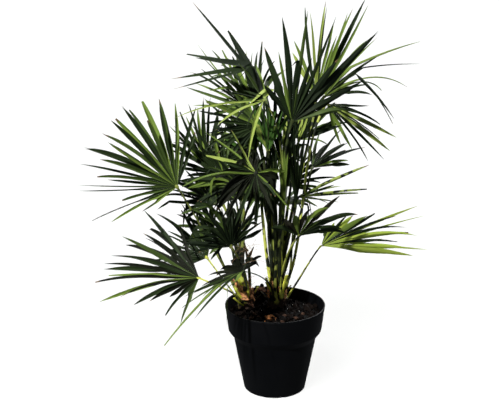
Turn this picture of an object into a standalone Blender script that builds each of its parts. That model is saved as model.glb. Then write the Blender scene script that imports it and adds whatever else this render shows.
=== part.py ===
"""Potted windmill palm: a nursery pot of soil with two short stems of fan leaves."""
import collections
import math
import random

import bmesh
import bpy
from mathutils import Matrix, Vector
from mathutils.bvhtree import BVHTree

# Pot and soil, in metres
rimRadius = 0.150
rimThickness = 0.0035
lipDrop = 0.0015
lipInset = 0.0012
potHeight = 0.267
bandFootRadius = 0.140
bandFootHeight = 0.190
bodyTopRadius = 0.1245
bodyTopHeight = 0.169
bandInset = 0.001
footRadius = 0.0930
footRounding = 0.005
wallThickness = 0.003
soilEdgeHeight = 0.233
soilHeight = 0.239
soilSlopeRadius = 0.126
potSides = 40

# Gaps that keep neighbouring solids apart
seatGap = 0.0003
clearance = 0.0015

# Stems: foot on the soil, lean to the tip, and radii
stemSides = 16
stems = {
    "left": {"foot": (-0.085, 0.040), "lean": (-0.018, 0.0), "height": 0.090, "radius": 0.0195},
    "right": {"foot": (0.006, 0.048), "lean": (0.003, 0.0), "height": 0.106, "radius": 0.0225},
}
stemFlare = 1.22
stemTaper = 0.90
stemLevels = 6

# Stalks
stalkSides = 6
stalkSteps = 5
stalkFootWidths = (0.0058, 0.0066, 0.0078)
stalkTopWidth = 0.0031
stalkFlatness = 0.62
stalkNarrowing = 1.3
ringHeights = (0.24, 0.62)
leavePull = 0.22
leaveTilt = 0.45
arrivePull = 0.24
arriveShare = 0.6
tangentStep = 0.02
tierShares = (0.0, 0.40, 0.74, 1.0)
tipInset = 0.9
footSpacing = 1.25
spreadRounds = 200
bowTrials = (0.0, 0.012, -0.012, 0.024, -0.024, 0.036, -0.036)

# Fans
fanThickness = 0.0024
webShare = 0.38
shoulderShare = 0.72
shoulderWidth = 0.62
lengthRange = (0.90, 1.04)
sideLength = 0.74
liftTrials = (0.0, 5.0, -5.0, 10.0, -10.0, 15.0, -15.0, 20.0, -20.0)
cutTrials = (1.0, 0.86, 0.72, 0.62, 0.54)

# Direction in which the photo looks; each fan is laid open to it and then turned
front = Vector((0.0, 0.95, -0.31)).normalized()

# A fan's hub and reach in mm; heading and climb of its midrib, turn about the midrib and first
# and last leaflet angle in degrees; number of leaflets; sag of the tips in percent of the reach
Fan = collections.namedtuple("Fan", "hub heading climb reach turn spread leaflets sag")
fanRows = {
    "left": (
        Fan((-286, -20, 637), -174, 47, 300, 12, (-60, 60), 16, 4),
        Fan((-204, 120, 656), 101, 73, 215, 20, (-50, 50), 12, 4),
        Fan((-129, -120, 488), -111, 68, 172, 15, (-70, 75), 12, 10),
        Fan((-223, -80, 379), -172, 15, 322, 42, (-30, 58), 13, 8),
        Fan((-204, 50, 395), 157, 32, 215, -30, (-55, 60), 12, 5),
        Fan((-104, 0, 635), -154, 32, 163, -25, (-60, 55), 12, 10),
        Fan((-185, 120, 454), 134, 26, 154, -20, (-55, 55), 11, 10),
        Fan((-163, 240, 504), 107, 22, 225, 10, (-50, 50), 11, 12),
        Fan((-106, 200, 428), 101, 6, 225, 0, (-50, 50), 11, 15),
    ),
    "right": (
        Fan((43, -80, 844), -27, 73, 306, 10, (-50, 50), 13, 3),
        Fan((119, 100, 868), 28, 76, 292, -10, (-40, 42), 13, 2),
        Fan((136, 0, 898), 5, 40, 318, 35, (-38, 40), 10, 22),
        Fan((152, 120, 852), 11, -30, 233, 30, (-30, 36), 10, 10),
        Fan((111, 120, 656), 51, 15, 215, -30, (-45, 45), 11, 8),
        Fan((70, 60, 583), 16, 9, 218, 70, (-40, 32), 9, 5),
        Fan((64, -120, 521), -22, 50, 168, 40, (-80, 45), 11, 10),
        Fan((134, -20, 457), -12, 17, 312, 65, (-40, 36), 12, 6),
        Fan((-23, 20, 868), 174, 53, 350, 76, (-32, 32), 9, 2),
        Fan((-81, 160, 831), 138, 46, 213, -20, (-50, 50), 12, 4),
        Fan((-36, -80, 907), -153, -7, 175, 45, (-45, 40), 9, 12),
        Fan((-58, -130, 710), -134, -20, 200, 0, (-80, 78), 14, 8),
        Fan((20, -82, 554), 0, 90, 215, 0, (-4, 4), 5, 0),
        Fan((-22, 60, 727), 92, 36, 173, 0, (-42, 42), 11, 4),
        Fan((76, 262, 704), 76, 44, 225, 0, (-46, 46), 10, 10),
        Fan((-74, 256, 708), 122, 24, 225, 10, (-46, 46), 10, 10),
        Fan((31, 240, 504), 85, 4, 242, 0, (-50, 50), 11, 15),
        Fan((-95, -170, 433), -140, -14, 265, 72, (-40, 40), 11, 12),
    ),
}


def clearScene():
    """Remove the objects that the file starts with."""
    for item in list(bpy.data.objects):
        bpy.data.objects.remove(item)


def makeMaterial(name, colour, roughness):
    """Return a plain Principled material."""
    material = bpy.data.materials.new(name)
    material.use_nodes = True
    shader = material.node_tree.nodes["Principled BSDF"]
    shader.inputs["Base Color"].default_value = (*colour, 1.0)
    shader.inputs["Roughness"].default_value = roughness
    return material


def addPart(name, points, faces, material, smooth=True):
    """Make one named object from points and faces, with its normals outward."""
    mesh = bpy.data.meshes.new(name)
    mesh.from_pydata([tuple(point) for point in points], [], faces)
    work = bmesh.new()
    work.from_mesh(mesh)
    bmesh.ops.recalc_face_normals(work, faces=work.faces)
    if work.calc_volume(signed=True) < 0.0:
        bmesh.ops.reverse_faces(work, faces=work.faces)
    work.to_mesh(mesh)
    work.free()
    mesh.materials.append(material)
    part = bpy.data.objects.new(name, mesh)
    bpy.context.collection.objects.link(part)
    if smooth:
        mesh.shade_smooth()
        mesh.set_sharp_from_angle(angle=math.radians(35.0))
    return part


def latheProfile(profile, sides):
    """Spin a closed outline of (radius, height) pairs; a zero radius is one point on the axis."""
    points = []
    rings = []
    for radius, height in profile:
        if radius == 0.0:
            rings.append([len(points)])
            points.append(Vector((0.0, 0.0, height)))
            continue
        rings.append(list(range(len(points), len(points) + sides)))
        for step in range(sides):
            angle = math.tau * step / sides
            points.append(Vector((radius * math.cos(angle), radius * math.sin(angle), height)))
    faces = []
    for lower, upper in zip(rings, rings[1:]):
        for step in range(sides):
            after = (step + 1) % sides
            corners = [lower[step % len(lower)], lower[after % len(lower)]]
            corners += [upper[after % len(upper)], upper[step % len(upper)]]
            faces.append(tuple(dict.fromkeys(corners)))
    return points, faces


def innerRadius(height):
    """Inside radius of the pot at a height."""
    if height >= bandFootHeight:
        share = (height - bandFootHeight) / (potHeight - bandFootHeight)
        return bandFootRadius + (rimRadius - bandFootRadius) * share - rimThickness
    if height >= bodyTopHeight:
        share = (height - bodyTopHeight) / (bandFootHeight - bodyTopHeight)
        outer = bodyTopRadius + (bandFootRadius - bodyTopRadius) * share
        return outer - rimThickness - bandInset
    share = height / bodyTopHeight
    return footRadius + (bodyTopRadius - footRadius) * share - wallThickness


def buildPot(material):
    """Build the pot: foot, sloping body, chamfer, rim band and a hollow inside."""
    floor = wallThickness
    profile = [
        (0.0, 0.0),
        (footRadius - footRounding, 0.0),
        (footRadius - footRounding * 0.3, footRounding * 0.3),
        (footRadius, footRounding),
        (bodyTopRadius, bodyTopHeight),
        (bandFootRadius, bandFootHeight),
        (rimRadius, potHeight - lipDrop),
        (rimRadius - lipInset, potHeight),
        (innerRadius(potHeight), potHeight),
        (innerRadius(bandFootHeight), bandFootHeight),
        (innerRadius(bodyTopHeight), bodyTopHeight),
        (innerRadius(floor), floor),
        (0.0, floor),
    ]
    points, faces = latheProfile(profile, potSides)
    return addPart("pot", points, faces, material)


def buildSoil(material):
    """Build the soil: it fills the pot and is a little higher round the stems."""
    foot = wallThickness + seatGap
    profile = [(0.0, foot)]
    for height in (foot, bodyTopHeight, bandFootHeight, soilEdgeHeight):
        profile.append((innerRadius(height) - seatGap, height))
    profile.append((soilSlopeRadius, soilHeight))
    profile.append((0.0, soilHeight))
    points, faces = latheProfile(profile, potSides)
    return addPart("soil", points, faces, material)


def stemAxis(size, share):
    """Point on a stem's leaning axis."""
    foot = Vector((*size["foot"], soilHeight + seatGap))
    lean = Vector((*size["lean"], size["height"]))
    bend = Vector((*size["lean"], 0.0)) * (share * share - share)
    return foot + lean * share + bend


def stemRadius(size, share):
    """Radius of a stem, flared at the foot and slimmer at the tip."""
    flare = (stemFlare - 1.0) * (1.0 - share) ** 4
    return size["radius"] * (1.0 + flare - (1.0 - stemTaper) * share)


def tube(rings):
    """Join rings of points into a closed tube."""
    sides = len(rings[0])
    points = [point for ring in rings for point in ring]
    faces = []
    for level in range(len(rings) - 1):
        for step in range(sides):
            after = (step + 1) % sides
            low = level * sides
            high = low + sides
            faces.append((low + step, low + after, high + after, high + step))
    faces.append(tuple(range(sides)))
    faces.append(tuple(range(len(points) - sides, len(points))))
    return points, faces


def buildStem(name, size, material):
    """Build one stem with its flare, taper and lean."""
    rings = []
    for level in range(stemLevels):
        share = level / (stemLevels - 1)
        centre = stemAxis(size, share)
        radius = stemRadius(size, share)
        ring = []
        for step in range(stemSides):
            angle = math.tau * step / stemSides
            ring.append(centre + Vector((radius * math.cos(angle), radius * math.sin(angle), 0.0)))
        rings.append(ring)
    points, faces = tube(rings)
    return addPart(name, points, faces, material)


def headingOf(turn, climb):
    """Unit vector from a heading and a climb in degrees."""
    flat = math.cos(math.radians(climb))
    along = flat * math.cos(math.radians(turn))
    aside = flat * math.sin(math.radians(turn))
    return Vector((along, aside, math.sin(math.radians(climb))))


def hubOf(fan):
    """Hub of a fan in metres."""
    return Vector(fan.hub) / 1000.0


def reachOf(fan):
    """Reach of a fan in metres."""
    return fan.reach / 1000.0


def fanAxes(fan):
    """Midrib, across and normal directions of a fan."""
    midrib = headingOf(fan.heading, fan.climb)
    across = front.cross(midrib).normalized()
    across = Matrix.Rotation(math.radians(fan.turn), 3, midrib) @ across
    return midrib, across, midrib.cross(across)


def fanStep(fan):
    """Angle between neighbouring leaflets in degrees."""
    first, last = fan.spread
    return (last - first) / (fan.leaflets - 1)


class Crowd:
    """The solids placed so far, asked whether a new one would touch them."""

    def __init__(self):
        self.points = []
        self.faces = []
        self.tree = None

    def add(self, points, faces):
        """Add one placed solid."""
        start = len(self.points)
        self.points += [point.copy() for point in points]
        self.faces += [tuple(start + index for index in face) for face in faces]
        self.tree = BVHTree.FromPolygons(self.points, self.faces, epsilon=0.0)

    def touches(self, points, faces):
        """Tell whether a trial solid would cross any placed one."""
        if self.tree is None:
            return False
        return bool(BVHTree.FromPolygons(points, faces, epsilon=0.0).overlap(self.tree))


def spreadTurns(turns, least):
    """Push sorted angles apart round a circle until neighbours are the least angle apart."""
    spread = list(turns)
    count = len(spread)
    if count < 2:
        return spread
    least = min(least, math.tau / count)
    for _ in range(spreadRounds):
        for place in range(count):
            after = (place + 1) % count
            lap = math.tau if after == 0 else 0.0
            lack = least - (spread[after] + lap - spread[place])
            if lack > 0.0:
                spread[place] -= lack / 2.0
                spread[after] += lack / 2.0
    return spread


def stalkFeet(name, size):
    """Share a stem's fans out over a low ring, a high ring and the tip, without crossings.

    Returns for each fan its foot and the direction in which it leaves the stem."""
    fans = fanRows[name]
    tip = stemAxis(size, 1.0)
    offsets = [hubOf(fan) - tip for fan in fans]
    slope = [math.atan2(offset.z, offset.xy.length) for offset in offsets]
    order = sorted(range(len(fans)), key=lambda index: slope[index])
    feet = {}
    for tier, (least, most) in enumerate(zip(tierShares, tierShares[1:])):
        members = order[round(least * len(order)):round(most * len(order))]
        members.sort(key=lambda index: math.atan2(offsets[index].y, offsets[index].x))
        wanted = [math.atan2(offsets[index].y, offsets[index].x) for index in members]
        if tier == 2:
            ringRadius = stemRadius(size, 1.0) - stalkFootWidths[tier] * tipInset
        else:
            ringRadius = stemRadius(size, ringHeights[tier])
        least = 2.0 * math.asin(min(1.0, stalkFootWidths[tier] * footSpacing / ringRadius))
        for index, angle in zip(members, spreadTurns(wanted, least)):
            aside = Vector((math.cos(angle), math.sin(angle), 0.0))
            if tier == 2:
                foot = tip + aside * ringRadius + Vector((0.0, 0.0, seatGap))
            else:
                depth = stalkFootWidths[tier] * stalkFlatness * math.sin(math.tau / stalkSides)
                reach = ringRadius + seatGap + depth
                foot = stemAxis(size, ringHeights[tier]) + aside * reach
            feet[index] = (foot, aside, tier)
    return feet


def bezier(corners, share):
    """Point on a cubic curve."""
    rest = 1.0 - share
    weights = (rest ** 3, 3 * rest * rest * share, 3 * rest * share * share, share ** 3)
    return sum((corner * weight for corner, weight in zip(corners, weights)), Vector())


def stalkShape(fan, foot, aside, tier, bow, margin):
    """Points and faces of one leaf stalk from its foot to the hub of its fan."""
    hub = hubOf(fan)
    midrib = headingOf(fan.heading, fan.climb)
    span = (hub - foot).length
    rise = Vector((0.0, 0.0, 1.0))
    leave = rise if tier == 2 else (rise + aside * leaveTilt).normalized()
    toward = (hub - foot).normalized()
    sideways = toward.cross(rise).normalized()
    arrive = (midrib * arriveShare + toward).normalized()
    end = hub - midrib * seatGap
    corners = (foot, foot + leave * span * leavePull, end - arrive * span * arrivePull, end)
    corners = (corners[0], corners[1] + sideways * bow, corners[2] + sideways * bow, corners[3])
    rings = []
    outward = aside
    for level in range(stalkSteps + 1):
        share = level / stalkSteps
        centre = bezier(corners, share)
        along = bezier(corners, min(1.0, share + tangentStep))
        along = (along - bezier(corners, max(0.0, share - tangentStep))).normalized()
        if level == 0:
            along = rise
        if level == stalkSteps:
            along = midrib
        narrowing = min(1.0, share * stalkNarrowing)
        width = stalkFootWidths[tier] + (stalkTopWidth - stalkFootWidths[tier]) * narrowing
        outward = (outward - along * outward.dot(along)).normalized()
        tangent = along.cross(outward)
        ring = []
        for step in range(stalkSides):
            angle = math.tau * step / stalkSides
            across = tangent * math.cos(angle) * (width + margin)
            deep = outward * math.sin(angle) * (width * stalkFlatness + margin)
            ring.append(centre + across + deep)
        rings.append(ring)
    return tube(rings)


def unevenness(fan, number):
    """Seeded share of the length of one leaflet."""
    dice = random.Random(fan.hub[0] * 7 + fan.hub[2] * 3 + number)
    return dice.uniform(*lengthRange)


def leafletReach(fan, number):
    """Length of one leaflet from the hub, longest in the middle of the fan."""
    half = (fan.leaflets - 1) / 2.0
    turn = abs(number - half) / half
    share = sideLength + (1.0 - sideLength) * math.cos(turn * math.pi / 2.0)
    return reachOf(fan) * share * unevenness(fan, number)


def sagged(point, fan):
    """Let a point of a fan hang by its share of the reach."""
    reach = reachOf(fan)
    share = (point - hubOf(fan)).length / reach
    return point - Vector((0.0, 0.0, fan.sag / 100.0 * reach * share * share))


def webEdge(fan, place):
    """Point between two leaflets where the web of the fan ends."""
    midrib, across, normal = fanAxes(fan)
    angle = math.radians(fan.spread[0] + fanStep(fan) * (place - 0.5))
    along = midrib * math.cos(angle) + across * math.sin(angle)
    return sagged(hubOf(fan) + along * reachOf(fan) * webShare, fan)


def leafletPoints(fan, number, lift, cut):
    """Shoulder edges and tip of one leaflet."""
    midrib, across, normal = fanAxes(fan)
    angle = math.radians(fan.spread[0] + fanStep(fan) * number)
    along = midrib * math.cos(angle) + across * math.sin(angle)
    aside = across * math.cos(angle) - midrib * math.sin(angle)
    raised = along * math.cos(lift) + normal * math.sin(lift)
    reach = leafletReach(fan, number) * cut
    web = reachOf(fan) * webShare
    half = web * math.tan(math.radians(fanStep(fan)) / 2.0) * shoulderWidth
    root = hubOf(fan) + along * web
    shoulder = root + raised * (reach * shoulderShare - web)
    tip = root + raised * (reach - web)
    left = sagged(shoulder - aside * half, fan)
    right = sagged(shoulder + aside * half, fan)
    return left, right, sagged(tip, fan)


def thick(points, normal, half):
    """Double a list of points to both sides of a sheet."""
    return [point + normal * half for point in points] + [point - normal * half for point in points]


def testPrism(fan, number, lift, cut):
    """Closed test shape round one leaflet, grown by the clearance."""
    normal = fanAxes(fan)[2]
    low = webEdge(fan, number)
    high = webEdge(fan, number + 1)
    left, right, tip = leafletPoints(fan, number, lift, cut)
    swell = clearance * (high - low).normalized()
    points = [low, high, right + swell, tip, left - swell]
    both = thick(points, normal, fanThickness / 2.0 + clearance)
    faces = [(0, 1, 2, 4), (4, 2, 3), (5, 6, 7, 9), (9, 7, 8)]
    faces += [(step, (step + 1) % 5, (step + 1) % 5 + 5, step + 5) for step in range(5)]
    return both, faces


def chooseLeaflet(fan, number, crowd):
    """Lift, or at worst shorten, one leaflet until it clears the solids placed so far."""
    for cut in cutTrials:
        for lift in liftTrials:
            if not crowd.touches(*testPrism(fan, number, math.radians(lift), cut)):
                return math.radians(lift), cut
    return 0.0, cutTrials[-1]


def fanShape(fan, crowd):
    """Points and faces of one fan: a web from the hub, and a leaflet beyond each part of it."""
    normal = fanAxes(fan)[2]
    count = fan.leaflets
    sheet = [hubOf(fan)] + [webEdge(fan, place) for place in range(count + 1)]
    tips = []
    for number in range(count):
        lift, cut = chooseLeaflet(fan, number, crowd)
        left, right, tip = leafletPoints(fan, number, lift, cut)
        sheet += [left, right]
        tips.append(tip)
    size = len(sheet)
    points = thick(sheet, normal, fanThickness / 2.0) + tips
    faces = []
    for number in range(count):
        low = 1 + number
        high = 2 + number
        left = count + 2 + 2 * number
        right = left + 1
        tip = 2 * size + number
        for side in (0, size):
            faces.append((side, low + side, high + side))
            faces.append((low + side, left + side, right + side, high + side))
            faces.append((left + side, tip, right + side))
        faces.append((low, left, left + size, low + size))
        faces.append((left, tip, left + size))
        faces.append((high, right, right + size, high + size))
        faces.append((right, tip, right + size))
    faces.append((0, 1, 1 + size, size))
    faces.append((0, count + 1, count + 1 + size, size))
    return points, faces


def buildLeaves(stalkMaterial, fanMaterial, crowd):
    """Build every stalk first, then every fan, each clear of what stands already."""
    placed = []
    for name, size in stems.items():
        feet = stalkFeet(name, size)
        for index, fan in enumerate(fanRows[name]):
            foot, aside, tier = feet[index]
            for bow in bowTrials:
                trial = stalkShape(fan, foot, aside, tier, bow, clearance)
                if not crowd.touches(*trial):
                    break
            shape = stalkShape(fan, foot, aside, tier, bow, 0.0)
            crowd.add(*shape)
            label = "%s_%02d" % (name, index + 1)
            addPart("stalk_" + label, *shape, stalkMaterial)
            placed.append((fan, label))
    for fan, label in placed:
        shape = fanShape(fan, crowd)
        crowd.add(*shape)
        addPart("fan_" + label, *shape, fanMaterial, smooth=False)


def main():
    clearScene()
    potMaterial = makeMaterial("pot_plastic", (0.012, 0.013, 0.015), 0.6)
    soilMaterial = makeMaterial("potting_soil", (0.045, 0.028, 0.018), 0.95)
    stemMaterial = makeMaterial("stem_fibre", (0.19, 0.085, 0.035), 0.95)
    stalkMaterial = makeMaterial("leaf_stalk", (0.12, 0.19, 0.03), 0.5)
    fanMaterial = makeMaterial("palm_leaf", (0.035, 0.075, 0.018), 0.45)
    crowd = Crowd()
    for part in (buildPot(potMaterial), buildSoil(soilMaterial)):
        corners = [vertex.co for vertex in part.data.vertices]
        crowd.add(corners, [tuple(face.vertices) for face in part.data.polygons])
    for name, size in stems.items():
        buildStem("stem_" + name, size, stemMaterial)
    buildLeaves(stalkMaterial, fanMaterial, crowd)


main()
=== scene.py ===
import collections
import math
import random

import bmesh
import bpy
from mathutils import Matrix, Vector, noise


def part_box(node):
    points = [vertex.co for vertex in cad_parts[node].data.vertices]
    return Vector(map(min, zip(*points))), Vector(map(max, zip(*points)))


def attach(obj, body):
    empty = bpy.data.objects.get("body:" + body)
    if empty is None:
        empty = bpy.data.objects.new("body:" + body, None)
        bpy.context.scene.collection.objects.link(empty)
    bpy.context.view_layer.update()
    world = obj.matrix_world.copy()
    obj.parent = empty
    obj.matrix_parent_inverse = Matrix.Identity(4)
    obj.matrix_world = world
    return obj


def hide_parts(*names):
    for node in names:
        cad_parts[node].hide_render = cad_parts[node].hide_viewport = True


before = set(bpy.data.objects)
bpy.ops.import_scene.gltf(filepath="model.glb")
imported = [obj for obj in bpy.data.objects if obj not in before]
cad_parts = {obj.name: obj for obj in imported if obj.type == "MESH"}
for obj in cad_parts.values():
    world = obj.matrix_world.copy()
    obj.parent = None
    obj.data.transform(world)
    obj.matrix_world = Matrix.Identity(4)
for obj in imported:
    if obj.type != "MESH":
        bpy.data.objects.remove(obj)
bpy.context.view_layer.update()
print("frame loaded with", len(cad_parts), "nodes")


# Helpers for objects, node trees and materials

def addObject(name, data):
    thing = bpy.data.objects.new(name, data)
    bpy.context.scene.collection.objects.link(thing)
    return thing


def feed(tree, socket, value):
    # a socket takes a plain value or another node's output
    if isinstance(value, bpy.types.NodeSocket):
        tree.links.new(value, socket)
    elif socket.type == "RGBA":
        socket.default_value = (*value, 1.0)
    else:
        socket.default_value = value


def addNode(tree, kind, inputs, **settings):
    node = tree.nodes.new(kind)
    for label, value in settings.items():
        setattr(node, label, value)
    for label, value in inputs.items():
        feed(tree, node.inputs[label], value)
    return node


def newTree(kind, name, inputs, outputs):
    tree = bpy.data.node_groups.new(name, kind)
    for direction, sockets in (("INPUT", inputs), ("OUTPUT", outputs)):
        for label, socketKind in sockets.items():
            tree.interface.new_socket(label, in_out=direction, socket_type="NodeSocket" + socketKind)
    return tree, tree.nodes.new("NodeGroupInput").outputs, tree.nodes.new("NodeGroupOutput").inputs


def newMaterial(name):
    material = bpy.data.materials.new(name)
    material.use_nodes = True
    return material, material.node_tree


def finishMaterial(material, values):
    tree = material.node_tree
    for label, value in values.items():
        feed(tree, tree.nodes["Principled BSDF"].inputs[label], value)
    return material


def sleeve(start, levels, sides):
    # the faces between rings of points that follow one another
    faces = []
    for low in range(start, start + (levels - 1) * sides, sides):
        for step in range(sides):
            after = (step + 1) % sides
            faces.append((low + step, low + after, low + sides + after, low + sides + step))
    return faces


# Camera, light and floor

studio = {
    "cameraPlace": (-0.075, -3.5, 1.65),
    "cameraPitch": 73.18,            # degrees from straight down
    "sensorWidth": 36.0,
    "focalPixels": 1251.0,
    "frameWidth": 500.0,
    "floorSize": 90.0,
    "floorColour": (0.90, 0.90, 0.89),
    "floorRoughness": 0.9,
    "skyColour": (0.90, 0.95, 1.0),
    "skyStrength": 0.12,
    "backdropRadius": 42.0,
    "backdropSteps": 24,
}
white = (1.0, 1.0, 1.0)
# A sun lights the floor alone or all but the floor. In degrees: its width, which softens its shadows, its
# tilt from straight overhead, and its turn, which is to the left of the camera below zero.
suns = {
    "sun": {"floor": "EXCLUDE", "strength": 5.0, "angle": 1.6, "tilt": 44.0, "turn": -32.0,
            "colour": (1.0, 0.975, 0.93)},
    "fill": {"floor": "EXCLUDE", "strength": 3.4, "angle": 40.0, "tilt": 52.0, "turn": 150.0},
    "floorShade": {"floor": "INCLUDE", "strength": 0.75, "angle": 35.0, "tilt": 44.0, "turn": -32.0},
    "floorLight": {"floor": "INCLUDE", "strength": 3.0, "angle": 1.0, "tilt": 0.0, "turn": 0.0,
                   "shadow": False},
}


def makeCamera():
    data = bpy.data.cameras.new("photoCamera")
    data.sensor_width = studio["sensorWidth"]
    data.lens = studio["sensorWidth"] * studio["focalPixels"] / studio["frameWidth"]
    camera = addObject("photoCamera", data)
    camera.location = studio["cameraPlace"]
    camera.rotation_euler = (math.radians(studio["cameraPitch"]), 0.0, 0.0)
    bpy.context.scene.camera = camera


def makeStagePiece(name, points, faces, shadow, materialName, values):
    mesh = bpy.data.meshes.new(name)
    mesh.from_pydata(points, [], faces)
    mesh.materials.append(finishMaterial(newMaterial(materialName)[0], values))
    piece = addObject(name, mesh)
    piece.visible_diffuse = False    # it throws no light into the leaves
    piece.visible_glossy = False
    piece.visible_shadow = shadow
    return piece


def makeFloor():
    half = studio["floorSize"] / 2.0
    corners = [(-half, -half, 0.0), (half, -half, 0.0), (half, half, 0.0), (-half, half, 0.0)]
    look = {"Base Color": studio["floorColour"], "Roughness": studio["floorRoughness"]}
    return makeStagePiece("floor", corners, [(0, 1, 2, 3)], True, "paleFloor", look)


def makeBackdrop():
    # a pale dome over the floor, seen only by the camera
    radius = studio["backdropRadius"]
    steps = studio["backdropSteps"]
    points = []
    for level in range(steps):
        climb = math.pi / 2.0 * level / steps
        for step in range(steps):
            turn = math.tau * step / steps
            flat = radius * math.cos(climb)
            points.append((flat * math.cos(turn), flat * math.sin(turn), radius * math.sin(climb)))
    faces = [face[::-1] for face in sleeve(0, steps, steps)]
    faces.append(tuple((steps - 1) * steps + step for step in reversed(range(steps))))
    look = {"Base Color": (0.0, 0.0, 0.0), "Emission Color": white, "Emission Strength": 1.0}
    makeStagePiece("backdrop", points, faces, False, "paleBackdrop", look)


def makeLight(floor):
    for name, look in suns.items():
        data = bpy.data.lights.new(name, "SUN")
        data.energy = look["strength"]
        data.angle = math.radians(look["angle"])
        data.color = look.get("colour", white)
        data.use_shadow = look.get("shadow", True)
        sun = addObject(name, data)
        sun.rotation_euler = (math.radians(look["tilt"]), 0.0, math.radians(look["turn"]))
        receivers = bpy.data.collections.new(name + "Receivers")
        receivers.objects.link(floor)
        sun.light_linking.receiver_collection = receivers
        receivers.collection_objects[0].light_linking.link_state = look["floor"]
    world = bpy.data.worlds.new("paleSky")
    world.use_nodes = True
    sky = world.node_tree.nodes["Background"].inputs
    feed(world.node_tree, sky["Color"], studio["skyColour"])
    feed(world.node_tree, sky["Strength"], studio["skyStrength"])
    bpy.context.scene.world = world
    bpy.context.scene.view_settings.view_transform = "Standard"


makeCamera()
makeLight(makeFloor())
makeBackdrop()
print("camera, light and floor made")


# Shader nodes, and groups that several materials share

def mathNode(tree, operation, *values):
    return addNode(tree, "ShaderNodeMath", dict(enumerate(values)), operation=operation).outputs[0]


def blend(tree, first, firstShare, second, secondShare):
    return mathNode(tree, "MULTIPLY_ADD", first, firstShare, mathNode(tree, "MULTIPLY", second, secondShare))


def noiseNode(tree, vector, scale, detail, roughness):
    values = {"Vector": vector, "Scale": scale, "Detail": detail, "Roughness": roughness}
    return addNode(tree, "ShaderNodeTexNoise", values).outputs[0]


def spread(tree, value, low, high):
    return addNode(tree, "ShaderNodeMapRange", {"Value": value, "From Min": low, "From Max": high}).outputs[0]


def mixColours(tree, share, first, second):
    return addNode(tree, "ShaderNodeMix", {0: share, 6: first, 7: second}, data_type="RGBA").outputs[2]


def coordinate(tree, label):
    return tree.nodes.new("ShaderNodeTexCoord").outputs[label]


def bump(tree, height, strength, distance):
    values = {"Height": height, "Strength": strength, "Distance": distance}
    return addNode(tree, "ShaderNodeBump", values).outputs[0]


# Each pattern's noise as (detail, roughness) and the part of its range that is spread from 0 to 1
patterns = {
    "patches": {"noise": (3.0, 0.55), "range": (0.32, 0.68)},
    "grain": {"noise": (4.0, 0.65), "range": (0.28, 0.72)},
    "dapple": {"noise": (1.0, 0.40), "range": (0.50, 0.44)},
    "ribWidth": 14.0,                # a high value makes a leaflet's midrib thin
}


def spreadNoise(tree, label, place, scale):
    return spread(tree, noiseNode(tree, place, scale, *patterns[label]["noise"]), *patterns[label]["range"])


def buildMottleGroup():
    inputs = {"Place": "Vector", "Coarse": "Float", "Fine": "Float"}
    tree, given, result = newTree("ShaderNodeTree", "mottle", inputs, {"Patches": "Float", "Grain": "Float"})
    feed(tree, result["Patches"], spreadNoise(tree, "patches", given["Place"], given["Coarse"]))
    feed(tree, result["Grain"], spreadNoise(tree, "grain", given["Place"], given["Fine"]))
    return tree


def buildPaintedShadowGroup():
    # the shadows that other leaves throw in patches on one that stands in the sun
    inputs = {"Place": "Vector", "Scale": "Float"}
    tree, given, result = newTree("ShaderNodeTree", "dapple", inputs, {"Shade": "Float"})
    feed(tree, result["Shade"], spreadNoise(tree, "dapple", given["Place"], given["Scale"]))
    return tree


def buildVeinGroup():
    inputs = {"Across": "Vector", "Veins": "Float"}
    tree, given, result = newTree("ShaderNodeTree", "leafVeins", inputs, {"Vein": "Float", "Midrib": "Float"})
    across = addNode(tree, "ShaderNodeSeparateXYZ", {0: given["Across"]}).outputs[0]
    turns = mathNode(tree, "MULTIPLY", across, given["Veins"])
    wave = mathNode(tree, "SINE", mathNode(tree, "MULTIPLY", turns, math.tau))
    feed(tree, result["Vein"], mathNode(tree, "MULTIPLY_ADD", wave, 0.5, 0.5))
    off = mathNode(tree, "ABSOLUTE", mathNode(tree, "SUBTRACT", across, 0.5))
    rib = mathNode(tree, "SUBTRACT", 1.0, mathNode(tree, "MULTIPLY", off, patterns["ribWidth"]))
    feed(tree, result["Midrib"], mathNode(tree, "MAXIMUM", rib, 0.0))
    return tree


mottleGroup = buildMottleGroup()
paintedShadowGroup = buildPaintedShadowGroup()
veinGroup = buildVeinGroup()


def groupNode(tree, group, values):
    return addNode(tree, "ShaderNodeGroup", values, node_tree=group).outputs


def placeMottle(tree, coarse, fine):
    values = {"Place": coordinate(tree, "Object"), "Coarse": coarse, "Fine": fine}
    mottle = groupNode(tree, mottleGroup, values)
    return mottle["Patches"], mottle["Grain"]


# paints the shadows of other leaves in patches over a colour
def addPaintedShadows(tree, colour, scale):
    dapple = groupNode(tree, paintedShadowGroup, {"Place": coordinate(tree, "Object"), "Scale": scale})
    return mixColours(tree, dapple["Shade"], colour, paintedShadowTone)


# Materials

# the tone of the painted leaf shadows
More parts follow.
